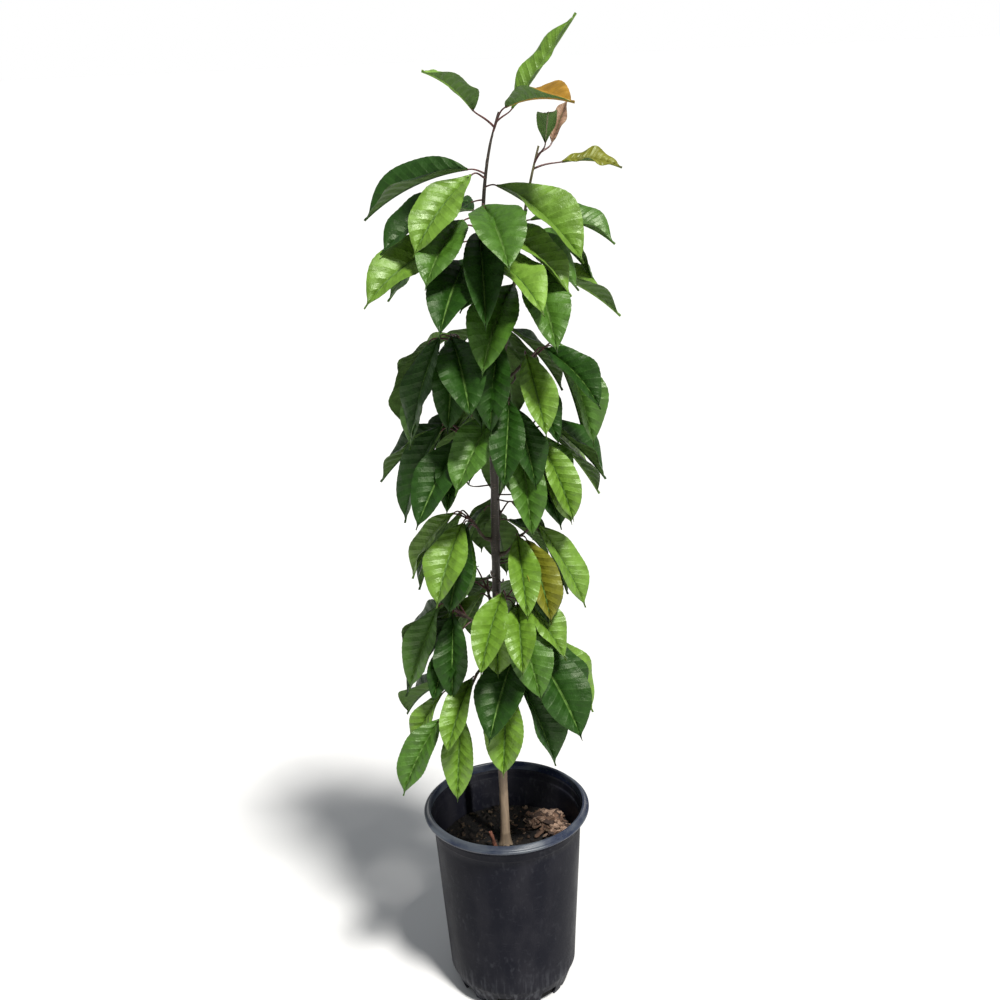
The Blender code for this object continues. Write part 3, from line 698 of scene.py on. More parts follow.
def bark(name, colours, heights):
    # Bark that passes through three colours from its foot to its tip, with dark strands and pale pores.
    foot_colour, middle_colour, tip_colour = colours
    foot, middle, tip = heights
    made, tree, shader = new_finish(name, foot_colour, 0.6)
    ripple = spread(tree, patches(tree, object_place(tree), 22.0), -0.05, 0.05)
    height = maths(tree, "ADD", height_on(tree), ripple)
    # On the trunk, the step from the foot's colour to the middle one is the painted edge of the crown's
    # shadow, with painted sunlight below; the later steps, and all of the shoot's, follow the bark's age.
    painted_light_and_age = mixed(tree, spread(tree, height, 0.0, 1.0, foot, middle), foot_colour, middle_colour)
    painted_light_and_age = mixed(tree, spread(tree, height, 0.0, 1.0, middle, tip), painted_light_and_age, tip_colour)
    strands = patches(tree, object_place(tree, 0.12), 190.0, 0.30, 0.75)
    toned = mixed(tree, times(tree, strands, STRAND_COVER), painted_light_and_age, MID_BARK)
    pores = patches(tree, object_place(tree, 3.2), 150.0, 0.60, 0.66)
    marked = mixed(tree, times(tree, pores, PORE_COVER), toned, PORE)
    tree.links.new(marked, shader.inputs["Base Color"])
    tree.links.new(spread(tree, strands, 0.44, 0.72), shader.inputs["Roughness"])
    add_bump(tree, shader, maths(tree, "ADD", times(tree, pores, 0.6), strands), 0.55, 0.0007)
    return made


def grain_at(place, by_axis):
    across, up = by_axis
    return noise.noise(Vector((place.x * across, place.y * across, place.z * up)))


def roughen_bark(bm, scars=()):
    # Uneven bark with crosswise pores, swollen into a ring at each scar.
    bm.normal_update()
    for vert in bm.verts:
        place = vert.co
        lift = BARK_UNEVEN * grain_at(place, SWELLS_BY_AXIS)
        pore = grain_at(place, PORES_BY_AXIS) - PORE_LEVEL
        lift += PORE_RELIEF * max(0.0, pore) / PORE_SOFTNESS
        for scar in scars:
            away = (place.z - scar) / SCAR_HEIGHT
            if abs(away) < SCAR_REACH:
                lift += SCAR_SWELL * math.exp(-away * away) * (0.6 + 0.4 * noise.noise(place * 90.0))
        vert.co = place + vert.normal * lift


def make_trunk(spur_heights):
    # The trunk and the leader are one limb, whose radius falls to the leader's over its first points.
    heights = even_steps(SOIL_TOP - 0.003, FORK_HEIGHT, TRUNK_POINTS)
    points = [trunk_centre(z) for z in heights]
    radii = [trunk_radius(z) for z in heights]
    leader = leader_run(0.0, 1.0, LEADER_POINTS)
    leader_radii = even_steps(*LEADER_RADII, LEADER_POINTS)
    blend = even_steps(TRUNK_TOP_RADIUS, leader_radii[LEADER_BLEND], LEADER_BLEND + 1)
    leader_radii[:LEADER_BLEND] = blend[:-1]
    bm = round_limbs([(points + leader[1:], radii + leader_radii[1:])], 20)
    roughen_bark(bm, spur_heights + [SHOOT_CURVE[0][2]])
    trunk_bark = bark("trunk_bark", TRUNK_COLOURS, TRUNK_COLOUR_HEIGHTS)
    finish_piece("trunk_and_leader", bm, [trunk_bark], ["trunk", "leader_bough"])


def make_second_shoot():
    # It starts in a wider socket inside the trunk, with a collar that dies away along it.
    run = shoot_run(0.0, 1.0, SHOOT_POINTS)
    run = [trunk_centre(run[0].z - SOCKET_DROP)] + run
    radii = even_steps(*SHOOT_RADII, SHOOT_POINTS)
    radii = [r * (1.0 + COLLAR_SWELL * math.exp(-k / COLLAR_POINTS)) for k, r in enumerate(radii)]
    bm = round_limbs([(run, [SOCKET_WIDENING * SHOOT_RADII[0]] + radii)], 14)
    roughen_bark(bm)
    shoot_bark = bark("shoot_bark", SHOOT_COLOURS, SHOOT_COLOUR_HEIGHTS)
    finish_piece("second_shoot", bm, [shoot_bark], ["shoot_bough"])


# Spurs, leaf stalks and leaves
# Short spurs up the trunk carry long hanging leaves on dark reddish stalks. A leaf is a thin blade
# folded along its midrib, puckered between its side veins, finely toothed and drawn out to a point.
# Most are mid green, some painted yellow green as sunlight and some deep green as shade; the youngest are
# orange, olive and pink.
STEM_RADII = (0.0027, 0.0019)
STEM_SIDES = 5
STEM_RINGS = 6
STEM_ARCH = 0.18
BOUGH_SIDES = 8
TRUNK_SIDES = 12
TRUNK_RINGS = 18
PETIOLE_RADIUS = 0.0011
PETIOLE_STATIONS = (0.0, 0.16, 0.58)
BLADE_STATIONS = (0.13, 0.33, 0.56, 0.80)
BLADE_WIDTH = (0.42, 0.56)
SLIM_FULLNESS = 0.70
BLADE_FOLD = 18.0
RIB_DEPTH = 0.024
LEVEL_PITCH = -10.0
LEVEL_BEND = 45.0
HANGING_BEND_LOSS = 0.5
FACE_LIGHT = 22.0
CLEARANCE = 0.0009
TRIES = 40

# Leaves grow by one seeded rule, clear of the limbs and of each other. How far a blade's base lies from
# its place on the stem, how steeply its stalk rises, the blade's pitch and its length against the mean
# length of its mass are each given as lowest and highest value.
STALK_LENGTH = (0.018, 0.040)
STALK_RISE = (0.0, 40.0)
BLADE_PITCH = (-72.0, -40.0)
LENGTH_SPREAD = (0.85, 1.15)
GOLDEN_TURN = 137.5
FAN_BASE = 60.0
FAN_PER_LEAF = 10.0
NODES_A_LEAF = 2
SHOOT_LIFT = 28.0
YOUNG_LEAVES = 3
YOUNG_LIFT = 90.0
YOUNG_SLIMMING = 0.25
PLACE_JITTER = 8.0
HEADING_JITTER = 30.0
ROLL_JITTER = 8.0
SEED = 11

# The most that a leaf without room is shifted, turned, tipped, rolled and shortened.
LOOSE_SHIFT = 0.014
LOOSE_TURN = 24.0
LOOSE_TIP = 16.0
LOOSE_ROLL = 14.0
LOOSE_LOSS = 0.10

# How far leaves keep from the pot's rim, above it and inside it, and from the soil.
RIM_CLEAR = 0.004
RIM_INSIDE = 0.022
SOIL_CLEAR = 0.020

# Habit of a spur and of an upright shoot: leafy share of its stem, bare share below its young leaves,
# whether it stands upright, and where in its fan the first leaf lies.
SPUR_HABIT = (0.60, 0.0, 0.0, 0.50)
SHOOT_HABIT = (0.62, 0.26, 1.0, 0.95)

# Each mass: name, height of its foot on the trunk, bearing, reach and height of its stem's tip, then
# the count of its leaves, the bearing that they fan round and their mean length. Bearings turn
# counter-clockwise seen from above: 0 is right, 90 back, 180 left and 270 front.
MASSES = (
    ("low_front_left", 0.595, 208, 0.080, 0.510, 7, 215, 0.130),
    ("low_front", 0.560, 275, 0.034, 0.572, 5, 275, 0.155),
    ("low_right", 0.630, 345, 0.045, 0.625, 6, 325, 0.155),
    ("low_left", 0.640, 180, 0.070, 0.675, 8, 195, 0.150),
    ("low_centre", 0.685, 285, 0.035, 0.715, 5, 285, 0.140),
    ("low_back_right", 0.605, 50, 0.045, 0.640, 7, 60, 0.125),
    ("low_back_left", 0.665, 120, 0.050, 0.700, 7, 120, 0.125),
    ("waist_left", 0.795, 190, 0.048, 0.835, 7, 205, 0.125),
    ("waist_right", 0.770, 350, 0.036, 0.805, 7, 330, 0.125),
    ("waist_back", 0.785, 90, 0.045, 0.825, 7, 90, 0.125),
    ("mid_left", 0.930, 190, 0.055, 0.970, 8, 205, 0.145),
    ("mid_right", 0.920, 5, 0.045, 0.955, 8, 340, 0.140),
    ("mid_front", 0.980, 285, 0.032, 1.005, 5, 280, 0.140),
    ("mid_back_left", 0.955, 125, 0.050, 0.985, 7, 125, 0.125),
    ("mid_back_right", 0.905, 60, 0.048, 0.935, 7, 60, 0.125),
    ("high_left", 1.060, 186, 0.060, 1.110, 8, 200, 0.150),
    ("high_right", 1.040, 8, 0.060, 1.075, 8, 340, 0.145),
    ("high_front", 1.080, 280, 0.030, 1.115, 4, 275, 0.140),
    ("high_back", 1.065, 95, 0.050, 1.105, 8, 90, 0.125),
)

# The two crowns above the boughs, whose stem is the rest of their shoot's curve: leaf count, the
# bearing that the leaves fan round and their mean length at the stem's foot and at its tip.
LEADER_CROWN = (18, 245, 0.160, 0.160)
SHOOT_CROWN = (12, 330, 0.170, 0.080)

# Tones of the leaves of each mass in the order that they grow, from its tip down and then again from
# the first letter; the masses at the back share one order.
# Tone b paints sunlight on a leaf and tone d paints shade on it.
LEAF_TONES = {
    "low_front_left": "mbbdd", "low_front": "bd", "low_right": "db", "low_left": "mddb",
    "low_centre": "bbbm", "waist_left": "bbdm", "waist_right": "bdob", "mid_left": "dddm",
    "mid_right": "mbbd", "mid_front": "ddmd", "high_left": "ddmdbm", "high_right": "mdddb",
    "high_front": "dd", "leader_crown": "bpydbbdmdmbmdmbpmd", "shoot_crown": "kkommmbbdmbm"}
SHADE_TONES = "mdmddmb"
# Each finish: name, colour, roughness and specular level. The b finish is painted sunlight and the d
# finish painted shade.
LEAF_FINISHES = {"b": ("leaf_painted_sunlit", (0.108, 0.215, 0.015, 1.0), 0.42, 0.80),
                 "m": ("leaf_green", (0.046, 0.122, 0.009, 1.0), 0.42, 0.66),
                 "d": ("leaf_painted_shade", (0.0125, 0.048, 0.0035, 1.0), 0.42, 0.34),
                 "p": ("leaf_pale", (0.150, 0.280, 0.032, 1.0), 0.46, 0.60),
                 "o": ("leaf_olive", (0.150, 0.155, 0.010, 1.0), 0.42, 0.55),
                 "y": ("leaf_orange", (0.290, 0.150, 0.012, 1.0), 0.42, 0.50),
                 "k": ("leaf_pink", (0.250, 0.145, 0.095, 1.0), 0.46, 0.40),
                 "u": ("leaf_underside", (0.085, 0.160, 0.035, 1.0), 0.55, 0.25)}

# A fine blade: its grid, veins and relief, its outline, and the most that it sweeps, twists, curls,
# folds and waves. What lies across it is a share of its half width.
ACROSS = 12
ALONG = 40
CROWDING_TO_RIB = 1.45
RIB_WIDTH = 0.02
TEETH_FROM = 0.99
SIDE_VEINS = 10.0
VEIN_RAKE = 1.6
PUCKER = 0.0021
LEAF_THICKNESS = 0.00045
RIB_LIFT = 0.0011
TOOTH = 0.018
HALVES_UNEVEN = 0.08
HALVES_ROUND = 0.32
TIP_LENGTH = 0.15
TIP_WIDTH = 0.11
MARGIN_WAVE = 0.0042
LEAF_SWEEP = 7.0
LEAF_TWIST = 22.0
LEAF_CURL = 10.0
LEAF_FOLDS = (1.2, 2.4)
LEAF_WAVES = (1.3, 2.6)
LEAF_SHEEN_TINT = (0.88, 1.0, 0.74, 1.0)
LEAF_SEED = 500
VEIN_COVER = 0.45
VEIN_PALENESS = (0.020, 0.030, 0.008)
LEAF_MOTTLING = (0.84, 1.14)

# Stalks thicken towards their root, up to the stout ones of a given length; a spur swells at its foot.
STALK_POINTS = 9
STALK_TIP_RADII = (0.0012, 0.0005)
STALK_SWELL = 0.0010
LONG_STALK = 0.07
SPUR_FOOT_SWELL = (1.7, 1.45)
STALK_RED = (0.085, 0.028, 0.026, 1.0)
SPUR_BARK = (0.060, 0.042, 0.026, 1.0)

# Bare twigs: the lowest and highest foot and the count in each zone, then their reach and their side.
TWIG_ZONES = ((0.62, 0.76, 11), (0.82, 0.92, 4), (1.02, 1.12, 4))
TWIG_REACH = (0.022, 0.048)
TWIG_BEARINGS = (170, 370)
TWIG_POINTS = 10
TWIG_ROOT_RADIUS = 0.0022
TWIG_RADII = (0.0013, 0.0008)
BUD_RADII = (0.0017, 0.0004)
TWIG_SEED = 11
TWIG_BARK = (0.045, 0.026, 0.018, 1.0)


def loft(rings, tip=None):
    # Triangles of a tube through rings of equal count, with a flat root and a flat or pointed end.
    count = len(rings[0])
    verts = [v for ring in rings for v in ring]
    faces = [tuple(range(count))]
    for k in range(len(rings) - 1):
        for i in range(count):
            low = k * count
            j = (i + 1) % count
            faces.append((low + i, low + j, low + count + j))
            faces.append((low + i, low + count + j, low + count + i))
    last = (len(rings) - 1) * count
    if tip is None:
        faces.append(tuple(range(last, last + count)))
    else:
        verts.append(tip)
        faces += [(last + i, last + (i + 1) % count, len(verts) - 1) for i in range(count)]
    return verts, faces


def ring_at(centre, along, radius, sides):
    # Points of a regular polygon square to a limb's direction.
    along = along.normalized()
    side = along.cross(Vector((0.0, 1.0, 0.0)) if abs(along.y) < 0.9 else Vector((1.0, 0.0, 0.0)))
    side.normalize()
    other = along.cross(side)
    turns = [2 * math.pi * i / sides for i in range(sides)]
    return [centre + radius * (math.cos(a) * side + math.sin(a) * other) for a in turns]


def limb(run, radii, sides, foot=None):
    # A tapering limb along a run of points; its first ring lies square to foot, if given.
    rings = []
    for k, radius in enumerate(even_steps(*radii, len(run))):
        along = run[min(k + 1, len(run) - 1)] - run[max(k - 1, 0)]
        rings.append(ring_at(run[k], foot if foot and k == 0 else along, radius, sides))
    return loft(rings)


def from_axis(bearing, reach, height):
    return leant(polar(bearing, reach, height))


def direction(heading, pitch):
    h = math.radians(heading)
    p = math.radians(pitch)
    return Vector((math.cos(p) * math.cos(h), math.cos(p) * math.sin(h), math.sin(p)))


def trunk_solid():
    foot = SOIL_TOP + GAP
    rings = []
    for k in range(TRUNK_RINGS):
        share = k / (TRUNK_RINGS - 1)
        z = foot + (FORK_HEIGHT - foot) * share ** 1.5
        rings.append(ring_at(trunk_centre(z), Vector((0, 0, 1)), trunk_radius(z), TRUNK_SIDES))
    return loft(rings)


def leader_bough():
    run = leader_run(0.0, LEADER_SHARE, 5)
    thin = LEADER_RADII[0] + (LEADER_RADII[1] - LEADER_RADII[0]) * LEADER_SHARE
    return limb(run, (LEADER_RADII[0], thin), BOUGH_SIDES, Vector((0, 0, 1)))


def shoot_bough():
    run = shoot_run(0.0, SHOOT_SHARE, 6)
    thin = SHOOT_RADII[0] + (SHOOT_RADII[1] - SHOOT_RADII[0]) * SHOOT_SHARE
    return limb(run, (SHOOT_RADII[0], thin), BOUGH_SIDES, Vector((1, 0, 0)))


def blade_profile(share, fullness):
    # Half width of a blade along its length, as a share of its greatest half width; the fuller the
    # blade, the further out its broadest part.
    return math.sin(math.pi * share ** fullness) ** 0.72 * (1.0 - 0.22 * share ** 3)


def petiole_curve(node, base, start):
    # Leaves the stem a little upwards and meets the blade along its first direction.
    stalk = (base - node).length
    lifted = node + (base - node) * 0.45 + Vector((0, 0, 0.10 * stalk))
    return node, lifted, base - start * 0.35 * stalk, base


def leaf_rings(node, base, heading, pitch, length, bend, roll, width, extra=0.0):
    # Rings of four points (left, top, right, rib) from the petiole's root to the last station of the
    # blade, and the tip; extra fattens them all for a clearance test.
    start = direction(heading, pitch + bend / 2)
    level = Vector((-math.sin(math.radians(heading)), math.cos(math.radians(heading)), 0.0))
    turn = math.radians(roll)
    fold = math.radians(BLADE_FOLD)
    radius = PETIOLE_RADIUS + extra
    rings = []
    curve = petiole_curve(node, base, start)
    side = level * math.cos(turn) + start.cross(level) * math.sin(turn)
    for share in PETIOLE_STATIONS:
        along = (bezier(curve, share + 0.02) - bezier(curve, share)).normalized()
        swing = start.rotation_difference(along)
        across = swing @ side
        rings.append(diamond(bezier(curve, share), across, along.cross(across), radius))
    rings.append(diamond(base, side, start.cross(side), radius))
    point = base.copy()
    done = 0.0
    for share in BLADE_STATIONS + (1.0,):
        steps = 8
        for k in range(steps):
            middle = done + (share - done) * (k + 0.5) / steps
            step = length * (share - done) / steps
            point = point + direction(heading, pitch + bend * (0.5 - middle)) * step
        done = share
        if share == 1.0:
            break
        along = direction(heading, pitch + bend * (0.5 - share))
        across = level * math.cos(turn) + along.cross(level) * math.sin(turn)
        up = along.cross(across)
        half = 0.5 * width * blade_profile(share, SLIM_FULLNESS + width / length) + extra
        reach = across * (half * math.cos(fold))
        lift = up * (half * math.sin(fold))
        deep = up * (RIB_DEPTH * length * (1.0 - 0.5 * share) + extra)
        rings.append([point - reach + lift, point + up * extra, point + reach + lift, point - deep])
    return rings, point + direction(heading, pitch - bend / 2) * extra


def diamond(centre, across, up, radius):
    return [centre - across * radius, centre + up * radius, centre + across * radius, centre - up * radius]


def leaf_solid(plan, extra=0.0):
    rings, tip = leaf_rings(*plan, extra)
    return loft(rings, tip)


def tree_of(verts, faces):
    return BVHTree.FromPolygons([v[:] for v in verts], faces)


def without_root(rings_of_root, faces):
    # Drops the first rings of a leaf, whose root lies in its stem.
    first = 4 * rings_of_root
    return [face for face in faces if min(face) >= first]


def clear_of_pot(verts):
    for vert in verts:
        outward = math.hypot(vert.x, vert.y)
        if vert.z < POT_HEIGHT + RIM_CLEAR and outward > POT_RIM_RADIUS - RIM_INSIDE:
            return False
        if vert.z < SOIL_TOP + SOIL_CLEAR:
            return False
    return True


def fits(plan, stem_tree, own_leaves, others):
    # True where a fattened leaf keeps clear of the pot, the soil, every limb and every other leaf.
    verts, faces = leaf_solid(plan, CLEARANCE)
    if not clear_of_pot(verts):
        return False
    whole = tree_of(verts, faces)
    beyond_root = tree_of(verts, without_root(1, faces))
    blade = tree_of(verts, without_root(3, faces))
    if blade.overlap(stem_tree) or any(beyond_root.overlap(tree) for tree in own_leaves):
        return False
    return not any(whole.overlap(tree) for tree in others)


def loosened(plan, rng, amount):
    # The same leaf turned, tipped and shifted a little by a seeded draw.
    node, base, heading, pitch, length, bend, roll, width = plan
    shift = Vector([rng.uniform(-1, 1) * LOOSE_SHIFT * amount for _ in range(3)])
    turned = heading + rng.uniform(-LOOSE_TURN, LOOSE_TURN) * amount
    tipped = pitch + rng.uniform(-LOOSE_TIP, LOOSE_TIP) * amount
    shorter = length * (1.0 - LOOSE_LOSS * amount * rng.random())
    rolled = roll + rng.uniform(-LOOSE_ROLL, LOOSE_ROLL) * amount
    return node, base + shift, turned, tipped, shorter, bend, rolled, width


def along_run(run, share):
    place = share * (len(run) - 1)
    low = min(int(place), len(run) - 2)
    return run[low].lerp(run[low + 1], place - low)


def grown_plans(mass, run, nodes, rng):
    # Plans of a mass's leaves from its stem's tip down, fanned round a bearing by the golden turn. A
    # shoot's young leaves stand up at its tip, straight and slim, and below them it is bare a while.
    leafy, bare, upright, fan_start, count, bearing, foot_length, tip_length = mass
    fan = FAN_BASE + FAN_PER_LEAF * count
    plans = []
    for k in range(count):
        share = 1.0 - leafy * k / count - (bare if k >= YOUNG_LEAVES else 0.0)
        youth = upright * max(0.0, 1.0 - k / YOUNG_LEAVES)
        turn = (fan_start + k * GOLDEN_TURN / 360.0) % 1.0 - 0.5
        at = bearing + fan * turn + rng.uniform(-PLACE_JITTER, PLACE_JITTER)
        stalk = direction(at, rng.uniform(*STALK_RISE)) * rng.uniform(*STALK_LENGTH)
        base = along_run(run, share) + stalk
        heading = at + rng.uniform(-HEADING_JITTER, HEADING_JITTER)
        pitch = rng.uniform(*BLADE_PITCH) + SHOOT_LIFT * upright + YOUNG_LIFT * youth
        length = (foot_length + (tip_length - foot_length) * share) * rng.uniform(*LENGTH_SPREAD)
        roll = FACE_LIGHT * math.cos(math.radians(heading)) + rng.uniform(-ROLL_JITTER, ROLL_JITTER)
        width = length * rng.uniform(*BLADE_WIDTH) * (1.0 - YOUNG_SLIMMING * youth)
        bend = (LEVEL_BEND - HANGING_BEND_LOSS * max(0.0, LEVEL_PITCH - pitch)) * (1.0 - youth)
        plans.append((nearest_node(nodes, base), base, heading, pitch, length, bend, roll, width))
    return plans


def nearest_node(stem_points, base):
    # The free node of the stem that is nearest to the blade's base and below or level with it.
    best = min(stem_points, key=lambda p: (p - base).length + 0.6 * max(0.0, p.z - base.z))
    if len(stem_points) > 1:
        stem_points.remove(best)
    return best


def spur_run(foot_height, bearing, reach, height):
    # A spur's centre line from just clear of the trunk, arching out to its tip.
    tip = from_axis(bearing, reach, height)
    centre = trunk_centre(foot_height)
    out = Vector((tip.x - centre.x, tip.y - centre.y, 0.0)).normalized()
    foot = centre + out * (trunk_radius(foot_height - STEM_RADII[0]) + GAP)
    span = (tip - foot).length
    arch = Vector((0, 0, STEM_ARCH * span))
    curve = (foot, foot + out * 0.35 * span, foot + (tip - foot) * 0.65 + arch, tip)
    return bezier_run(curve, 0.0, 1.0, STEM_RINGS), out


def nodes_along(run, count):
    # Evenly spaced nodes on a stem, clear of its foot and of its very tip.
    return [along_run(run, 0.15 + 0.80 * (k + 0.5) / count) for k in range(count)]


def crown_stem(run, radii, share):
    # The stem above a bough: the rest of its shoot, starting just clear of the bough's tip.
    run[0] = run[0] + (run[1] - run[0]).normalized() * GAP
    thick = radii[0] + (radii[1] - radii[0]) * share
    return run, limb(run, (thick, radii[1]), STEM_SIDES)


def grow_leaves(plans, tones, stem_tree, own_trees, others, rng):
    # The leaves that fit, each with its tone; one that never fits is left out.
    fitted = []
    for index, plan in enumerate(plans):
        for k in range(TRIES):
            trial = plan if k == 0 else loosened(plan, rng, k / (TRIES - 1))
            if fits(trial, stem_tree, own_trees, others):
                fitted.append((trial, tones[index % len(tones)]))
                own_trees.append(tree_of(*leaf_solid(trial)))
                break
    return fitted


def grow_crown():
    # The leaves of every mass that found room, each with its tone, and the spurs that carry them.
    masses = []
    spurs = []
    for name, foot, bearing, reach, height, count, fan_bearing, length in MASSES:
        run, out = spur_run(foot, bearing, reach, height)
        stem = limb(run, STEM_RADII, STEM_SIDES, out)
        masses.append((name, run, stem, (*SPUR_HABIT, count, fan_bearing, length, length)))
        spurs.append(run)
    run, stem = crown_stem(leader_run(LEADER_SHARE, 1.0, 12), LEADER_RADII, LEADER_SHARE)
    masses.append(("leader_crown", run, stem, (*SHOOT_HABIT, *LEADER_CROWN)))
    run, stem = crown_stem(shoot_run(SHOOT_SHARE, 1.0, 10), SHOOT_RADII, SHOOT_SHARE)
    masses.append(("shoot_crown", run, stem, (*SHOOT_HABIT, *SHOOT_CROWN)))
    limb_trees = [tree_of(*solid) for solid in (trunk_solid(), leader_bough(), shoot_bough())]
    stem_trees = [tree_of(*mass[2]) for mass in masses]
    leaf_trees = [[] for mass in masses]
    kept = {}
    for index, (name, run, stem, mass) in enumerate(masses):
        rng = random.Random(SEED + index)
        nodes = nodes_along(run, NODES_A_LEAF * mass[4])
        plans = grown_plans(mass, run, nodes, rng)
        others = limb_trees + stem_trees[:index] + stem_trees[index + 1:]
        for trees in leaf_trees[:index]:
            others = others + trees
        tones = LEAF_TONES.get(name, SHADE_TONES)
        kept[name] = grow_leaves(plans, tones, stem_trees[index], leaf_trees[index], others, rng)
    return kept, spurs


def leaf_outline(share, fullness):
    # Half width of a fine blade, drawn out to a narrow point past its body.
    body_share = share / (1.0 - 0.4 * TIP_LENGTH)
    body = blade_profile(body_share, fullness) if 0.0 < body_share < 1.0 else 0.0
    tip = TIP_WIDTH * (1.0 - share) / TIP_LENGTH if share > 1.0 - TIP_LENGTH else 0.0
    return (body ** 4 + tip ** 4) ** 0.25


def leaf_pattern():
    # A flat blade of unit length and half width: x runs across, y along, and z is relief in metres.
    bm = bmesh.new()
    uv = bm.loops.layers.uv.new("blade")
    bmesh.ops.create_grid(bm, x_segments=ACROSS, y_segments=ALONG, size=1.0)
    for vert in bm.verts:
        vert.co.x = math.copysign(abs(vert.co.x) ** CROWDING_TO_RIB, vert.co.x)
        vert.co.y = (vert.co.y + 1.0) / 2.0
    for face in bm.faces:
        for loop in face.loops:
            loop[uv].uv = ((loop.vert.co.x + 1.0) / 2.0, loop.vert.co.y)
    top = set(bm.faces)
    if bm.faces[:][0].normal.z < 0:
        bmesh.ops.reverse_faces(bm, faces=bm.faces[:])
    bmesh.ops.solidify(bm, geom=bm.faces[:], thickness=LEAF_THICKNESS)
    for face in bm.faces:
        face.material_index = 0 if face in top else 1
    for vert in bm.verts:
        x, y, z = vert.co
        below = z < -LEAF_THICKNESS / 2
        on_rib = abs(x) < RIB_WIDTH
        phase = y * SIDE_VEINS - VEIN_RAKE * abs(x) * (1.0 - 0.3 * abs(x))
        relief = PUCKER * abs(math.sin(math.pi * phase)) * (1.0 - abs(x) ** 3) * min(1.0, abs(x) / 0.2)
        groove = -0.8 * PUCKER if on_rib and not below else 0.0
        ridge = -RIB_LIFT * (1.0 - 0.8 * y) if on_rib and below else 0.0
        tooth = 1.0 + TOOTH * (round(y * ALONG) % 2) if abs(x) > TEETH_FROM else 1.0
        vert.co.x = x * tooth
        vert.co.z = z + relief + groove + ridge
    return mesh_from("leaf_pattern", bm)


def blade_frames(plan, sweep, twist, curl):
    # Centre, sideways and upward directions at each station of a blade.
    node, base, heading, pitch, length, bend, roll, width = plan
    bend = bend + curl
    point = base.copy()
    frames = []
    for k in range(ALONG + 1):
        share = k / ALONG
        facing = heading + sweep * (share - 0.3)
        along = direction(facing, pitch + bend * (0.5 - share))
        level = Vector((-math.sin(math.radians(facing)), math.cos(math.radians(facing)), 0.0))
        turn = math.radians(roll + twist * (share - 0.4))
        across = level * math.cos(turn) + along.cross(level) * math.sin(turn)
        frames.append((point.copy(), across, along.cross(across)))
        point = point + direction(facing, pitch + bend * (0.5 - share - 0.5 / ALONG)) * (length / ALONG)
    return frames


def add_leaf(bm, pattern, plan, top_index, under_index, rng):
    # Bends the flat pattern along the leaf's own curve, folds it, rounds its halves and waves its
    # margins.
    length, width = plan[4], plan[7]
    frames = blade_frames(plan, rng.uniform(-1, 1) * LEAF_SWEEP, rng.uniform(-1, 1) * LEAF_TWIST,
                          rng.uniform(-1, 1) * LEAF_CURL)
    fullness = SLIM_FULLNESS + width / length
    outline = [leaf_outline(max(k / ALONG, 0.004), fullness) for k in range(ALONG + 1)]
    fold = math.radians(BLADE_FOLD * rng.uniform(*LEAF_FOLDS))
    uneven = rng.uniform(-1, 1) * HALVES_UNEVEN
    waves = [(rng.uniform(*LEAF_WAVES), rng.uniform(0, 2 * math.pi)) for _ in range(2)]
    verts, faces = add_pattern(bm, pattern)
    for vert in verts:
        x, y, z = vert.co
        station = round(y * ALONG)
        centre, across, up = frames[station]
        turns, start = waves[x > 0]
        edge = 0.5 * width * outline[station] * (1.0 + math.copysign(uneven, x))
        half = edge * abs(x)
        wave = MARGIN_WAVE * outline[station] * x * x * math.sin(2 * math.pi * turns * y + start)
        bulge = HALVES_ROUND * half * (1.0 - abs(x))
        lift = half * math.sin(fold) + bulge + wave + z
        vert.co = centre + across * math.copysign(half * math.cos(fold), x) + up * lift
    for face in faces:
        face.material_index = under_index if face.material_index else top_index


def leaf_veins_group():
    # Pale lines of the midrib and the raked side veins, and the puckered height between them.
    inputs = {"Vector": "Vector", "Side Veins": "Float", "Rake": "Float"}
    tree, given, results = shader_group("leaf_veins", inputs, {"Lines": "Float", "Height": "Float"})
    parts = add_node(tree, "ShaderNodeSeparateXYZ", {"Vector": given["Vector"]}).outputs
    off_rib = times(tree, maths(tree, "ABSOLUTE", maths(tree, "SUBTRACT", parts["X"], 0.5)), 2.0)
    eased = maths(tree, "SUBTRACT", 1.0, times(tree, off_rib, 0.3))
    raked = times(tree, times(tree, off_rib, given["Rake"]), eased)
    phase = maths(tree, "SUBTRACT", times(tree, parts["Y"], given["Side Veins"]), raked)
    away = maths(tree, "PINGPONG", phase, 0.5)
    side_lines = spread(tree, away, 1.0, 0.0, 0.0, 0.11)
    faded = times(tree, side_lines, spread(tree, off_rib, 0.75, 0.15))
    rib = spread(tree, off_rib, 1.0, 0.0, 0.010, 0.045)
    tree.links.new(maths(tree, "MAXIMUM", faded, rib), results["Lines"])
    tree.links.new(maths(tree, "POWER", times(tree, away, 2.0), 0.8), results["Height"])
    return tree


LEAF_VEINS = leaf_veins_group()


